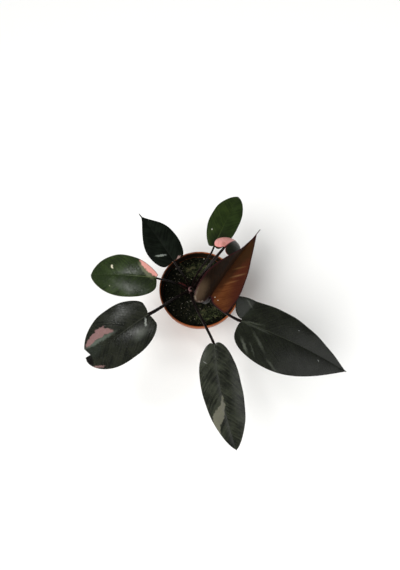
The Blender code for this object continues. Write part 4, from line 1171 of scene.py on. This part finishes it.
def stalk_mesh(path, thickness):
    """A closed stalk along a cubic curve, with its channel on the upper side."""
    p0, p1, p2, p3 = path
    foot, middle, end = thickness
    vertices, places, run = [], [], 0.0
    before = p0
    for step in range(PETIOLE_STEPS + 1):
        t = step / PETIOLE_STEPS
        s = 1 - t
        place = s ** 3 * p0 + 3 * s * s * t * p1 + 3 * s * t * t * p2 + t ** 3 * p3
        ahead = s * s * (p1 - p0) + 2 * s * t * (p2 - p1) + t * t * (p3 - p2)
        ahead /= np.linalg.norm(ahead)
        beside = np.cross(ahead, (0, 0, 1))
        beside /= np.linalg.norm(beside)
        above = np.cross(beside, ahead)
        run += np.linalg.norm(place - before)
        before = place
        radius = middle + (foot - middle) * max(0, 1 - t * 4) ** 1.5
        radius += (end - middle) * max(0, t * 5 - 4)
        radius *= 1 + 0.03 * math.sin(run * 900)
        for i in range(PETIOLE_SIDES):
            a = 2 * math.pi * i / PETIOLE_SIDES
            hollow = CHANNEL_DEPTH * math.exp(-((a - math.pi / 2) / CHANNEL_WIDTH) ** 2)
            outward = beside * math.cos(a) + above * math.sin(a)
            vertices.append(place + radius * (1 - hollow) * outward)
            places.append((run * 1000, 1000 * radius * math.cos(a), 1000 * radius * math.sin(a)))
    last = PETIOLE_STEPS * PETIOLE_SIDES
    for first, inward in ((0, -1), (last, 1)):
        centre = np.mean(vertices[first:first + PETIOLE_SIDES], 0)
        tip = p1 - p0 if inward < 0 else p3 - p2
        tip = tip / np.linalg.norm(tip) * (foot if inward < 0 else end) * 0.35 * inward
        vertices.append(centre + tip)
        places.append(places[first])
    faces = []
    for i in range(PETIOLE_SIDES):
        j = (i + 1) % PETIOLE_SIDES
        faces.append((last + PETIOLE_SIDES, i, j))
        faces.append((last + PETIOLE_SIDES + 1, last + j, last + i))
        for step in range(PETIOLE_STEPS):
            a = step * PETIOLE_SIDES
            b = a + PETIOLE_SIDES
            faces.append((a + i, b + i, b + j, a + j))
    return vertices, faces, np.array(places)


for leaf in LEAVES:
    vertices, faces, places = stalk_mesh(petiole_path(leaf), leaf["thickness"])
    stalk = mesh_piece(f"{leaf['name']}_stalk", vertices, faces, [petiole_skin])
    store_places(stalk, "stalk", places)
    seat(stalk, f"{leaf['name']}_leaf_petiole")


# ---- Floor -------------------------------------------------------------------
# A plain pale sheet of seamless paper under the pot.
FLOOR_HALF = 3.0
FLOOR_BELOW = 0.0005
paper, add, shader = new_surface("seamless_paper", Roughness=0.9, Specular_IOR_Level=0.1)
place = add("TexCoord").outputs["Object"]
tooth = add("TexNoise", {"Vector": place, "Scale": 900, "Detail": 2})
pale = add("Mix", {0: tooth, 6: "F3F3F1", 7: "F7F7F5"}, data_type="RGBA")
feed(shader, {"Base Color": pale})
corners = [(x * FLOOR_HALF, y * FLOOR_HALF, -FLOOR_BELOW)
           for x, y in ((-1, -1), (1, -1), (1, 1), (-1, 1))]
mesh_piece("floor", corners, [(0, 1, 2, 3)], [paper])


# ---- Lights ------------------------------------------------------------------
# Broad daylight from the left front, kept out of the sheen on the leaves. A small diffuser high
# at the left draws that sheen, a wide one fills in from the right, and the white room is seen
# brighter than it lights the plant.
DAYLIGHT_HEADING = (0.62, 0.42, -0.85)
DAYLIGHT_STRENGTH = 3.6
DAYLIGHT_SPREAD = 46
ROOM_LIGHT = 0.15
ROOM_SEEN = 0.93
# name, place, width, depth, watts
DIFFUSERS = (("fill_diffuser", (0.85, -0.35, 0.8), 0.9, 0.9, 3.0),
             ("top_diffuser", (-0.46, 0.22, 1.05), 0.12, 0.22, 1.5))


def hang_lamp(lamp, where, heading):
    """Puts a lamp in the scene, shining along a heading."""
    hung = bpy.data.objects.new(lamp.name, lamp)
    hung.location = where
    hung.rotation_euler = Vector(heading).to_track_quat("-Z", "Y").to_euler()
    bpy.context.scene.collection.objects.link(hung)
    return hung


daylight = bpy.data.lights.new("window_daylight", "SUN")
daylight.energy = DAYLIGHT_STRENGTH
daylight.angle = math.radians(DAYLIGHT_SPREAD)
hang_lamp(daylight, (0, 0, 0), DAYLIGHT_HEADING).visible_glossy = False
for name, where, width, depth, watts in DIFFUSERS:
    diffuser = bpy.data.lights.new(name, "AREA")
    diffuser.shape = "RECTANGLE"
    diffuser.size, diffuser.size_y = width, depth
    diffuser.energy = watts
    hang_lamp(diffuser, where, Vector((0, 0, rim_z)) - Vector(where))

room = bpy.data.worlds.new("dim_white_room")
room.use_nodes = True
add = partial(add_node, room.node_tree)
seen = add("LightPath").outputs["Is Camera Ray"]
glow = add("MapRange", {"Value": seen, "To Min": ROOM_LIGHT, "To Max": ROOM_SEEN})
feed(room.node_tree.nodes["Background"], {"Color": "FFFFFF", "Strength": glow})
bpy.context.scene.world = room
bpy.context.scene.view_settings.view_transform = "Standard"


# ---- Camera ------------------------------------------------------------------
# Half a metre away and 70 degrees above the horizon, as if held over the plant from the front.
CAMERA_DISTANCE = 0.5
CAMERA_RISE = 70
CAMERA_ASIDE = 0.00075
CAMERA_BACK = 0.0048
CAMERA_LENS = 21.16
CAMERA_FILM = 36
eye = bpy.data.cameras.new("camera")
eye.lens = CAMERA_LENS
eye.sensor_width = CAMERA_FILM
camera = bpy.data.objects.new("camera", eye)
rise = math.radians(CAMERA_RISE)
camera.location = (CAMERA_ASIDE, CAMERA_BACK - CAMERA_DISTANCE * math.cos(rise),
                   rim_z + CAMERA_DISTANCE * math.sin(rise))
camera.rotation_euler = (math.pi / 2 - rise, 0, 0)
bpy.context.scene.collection.objects.link(camera)
bpy.context.scene.camera = camera
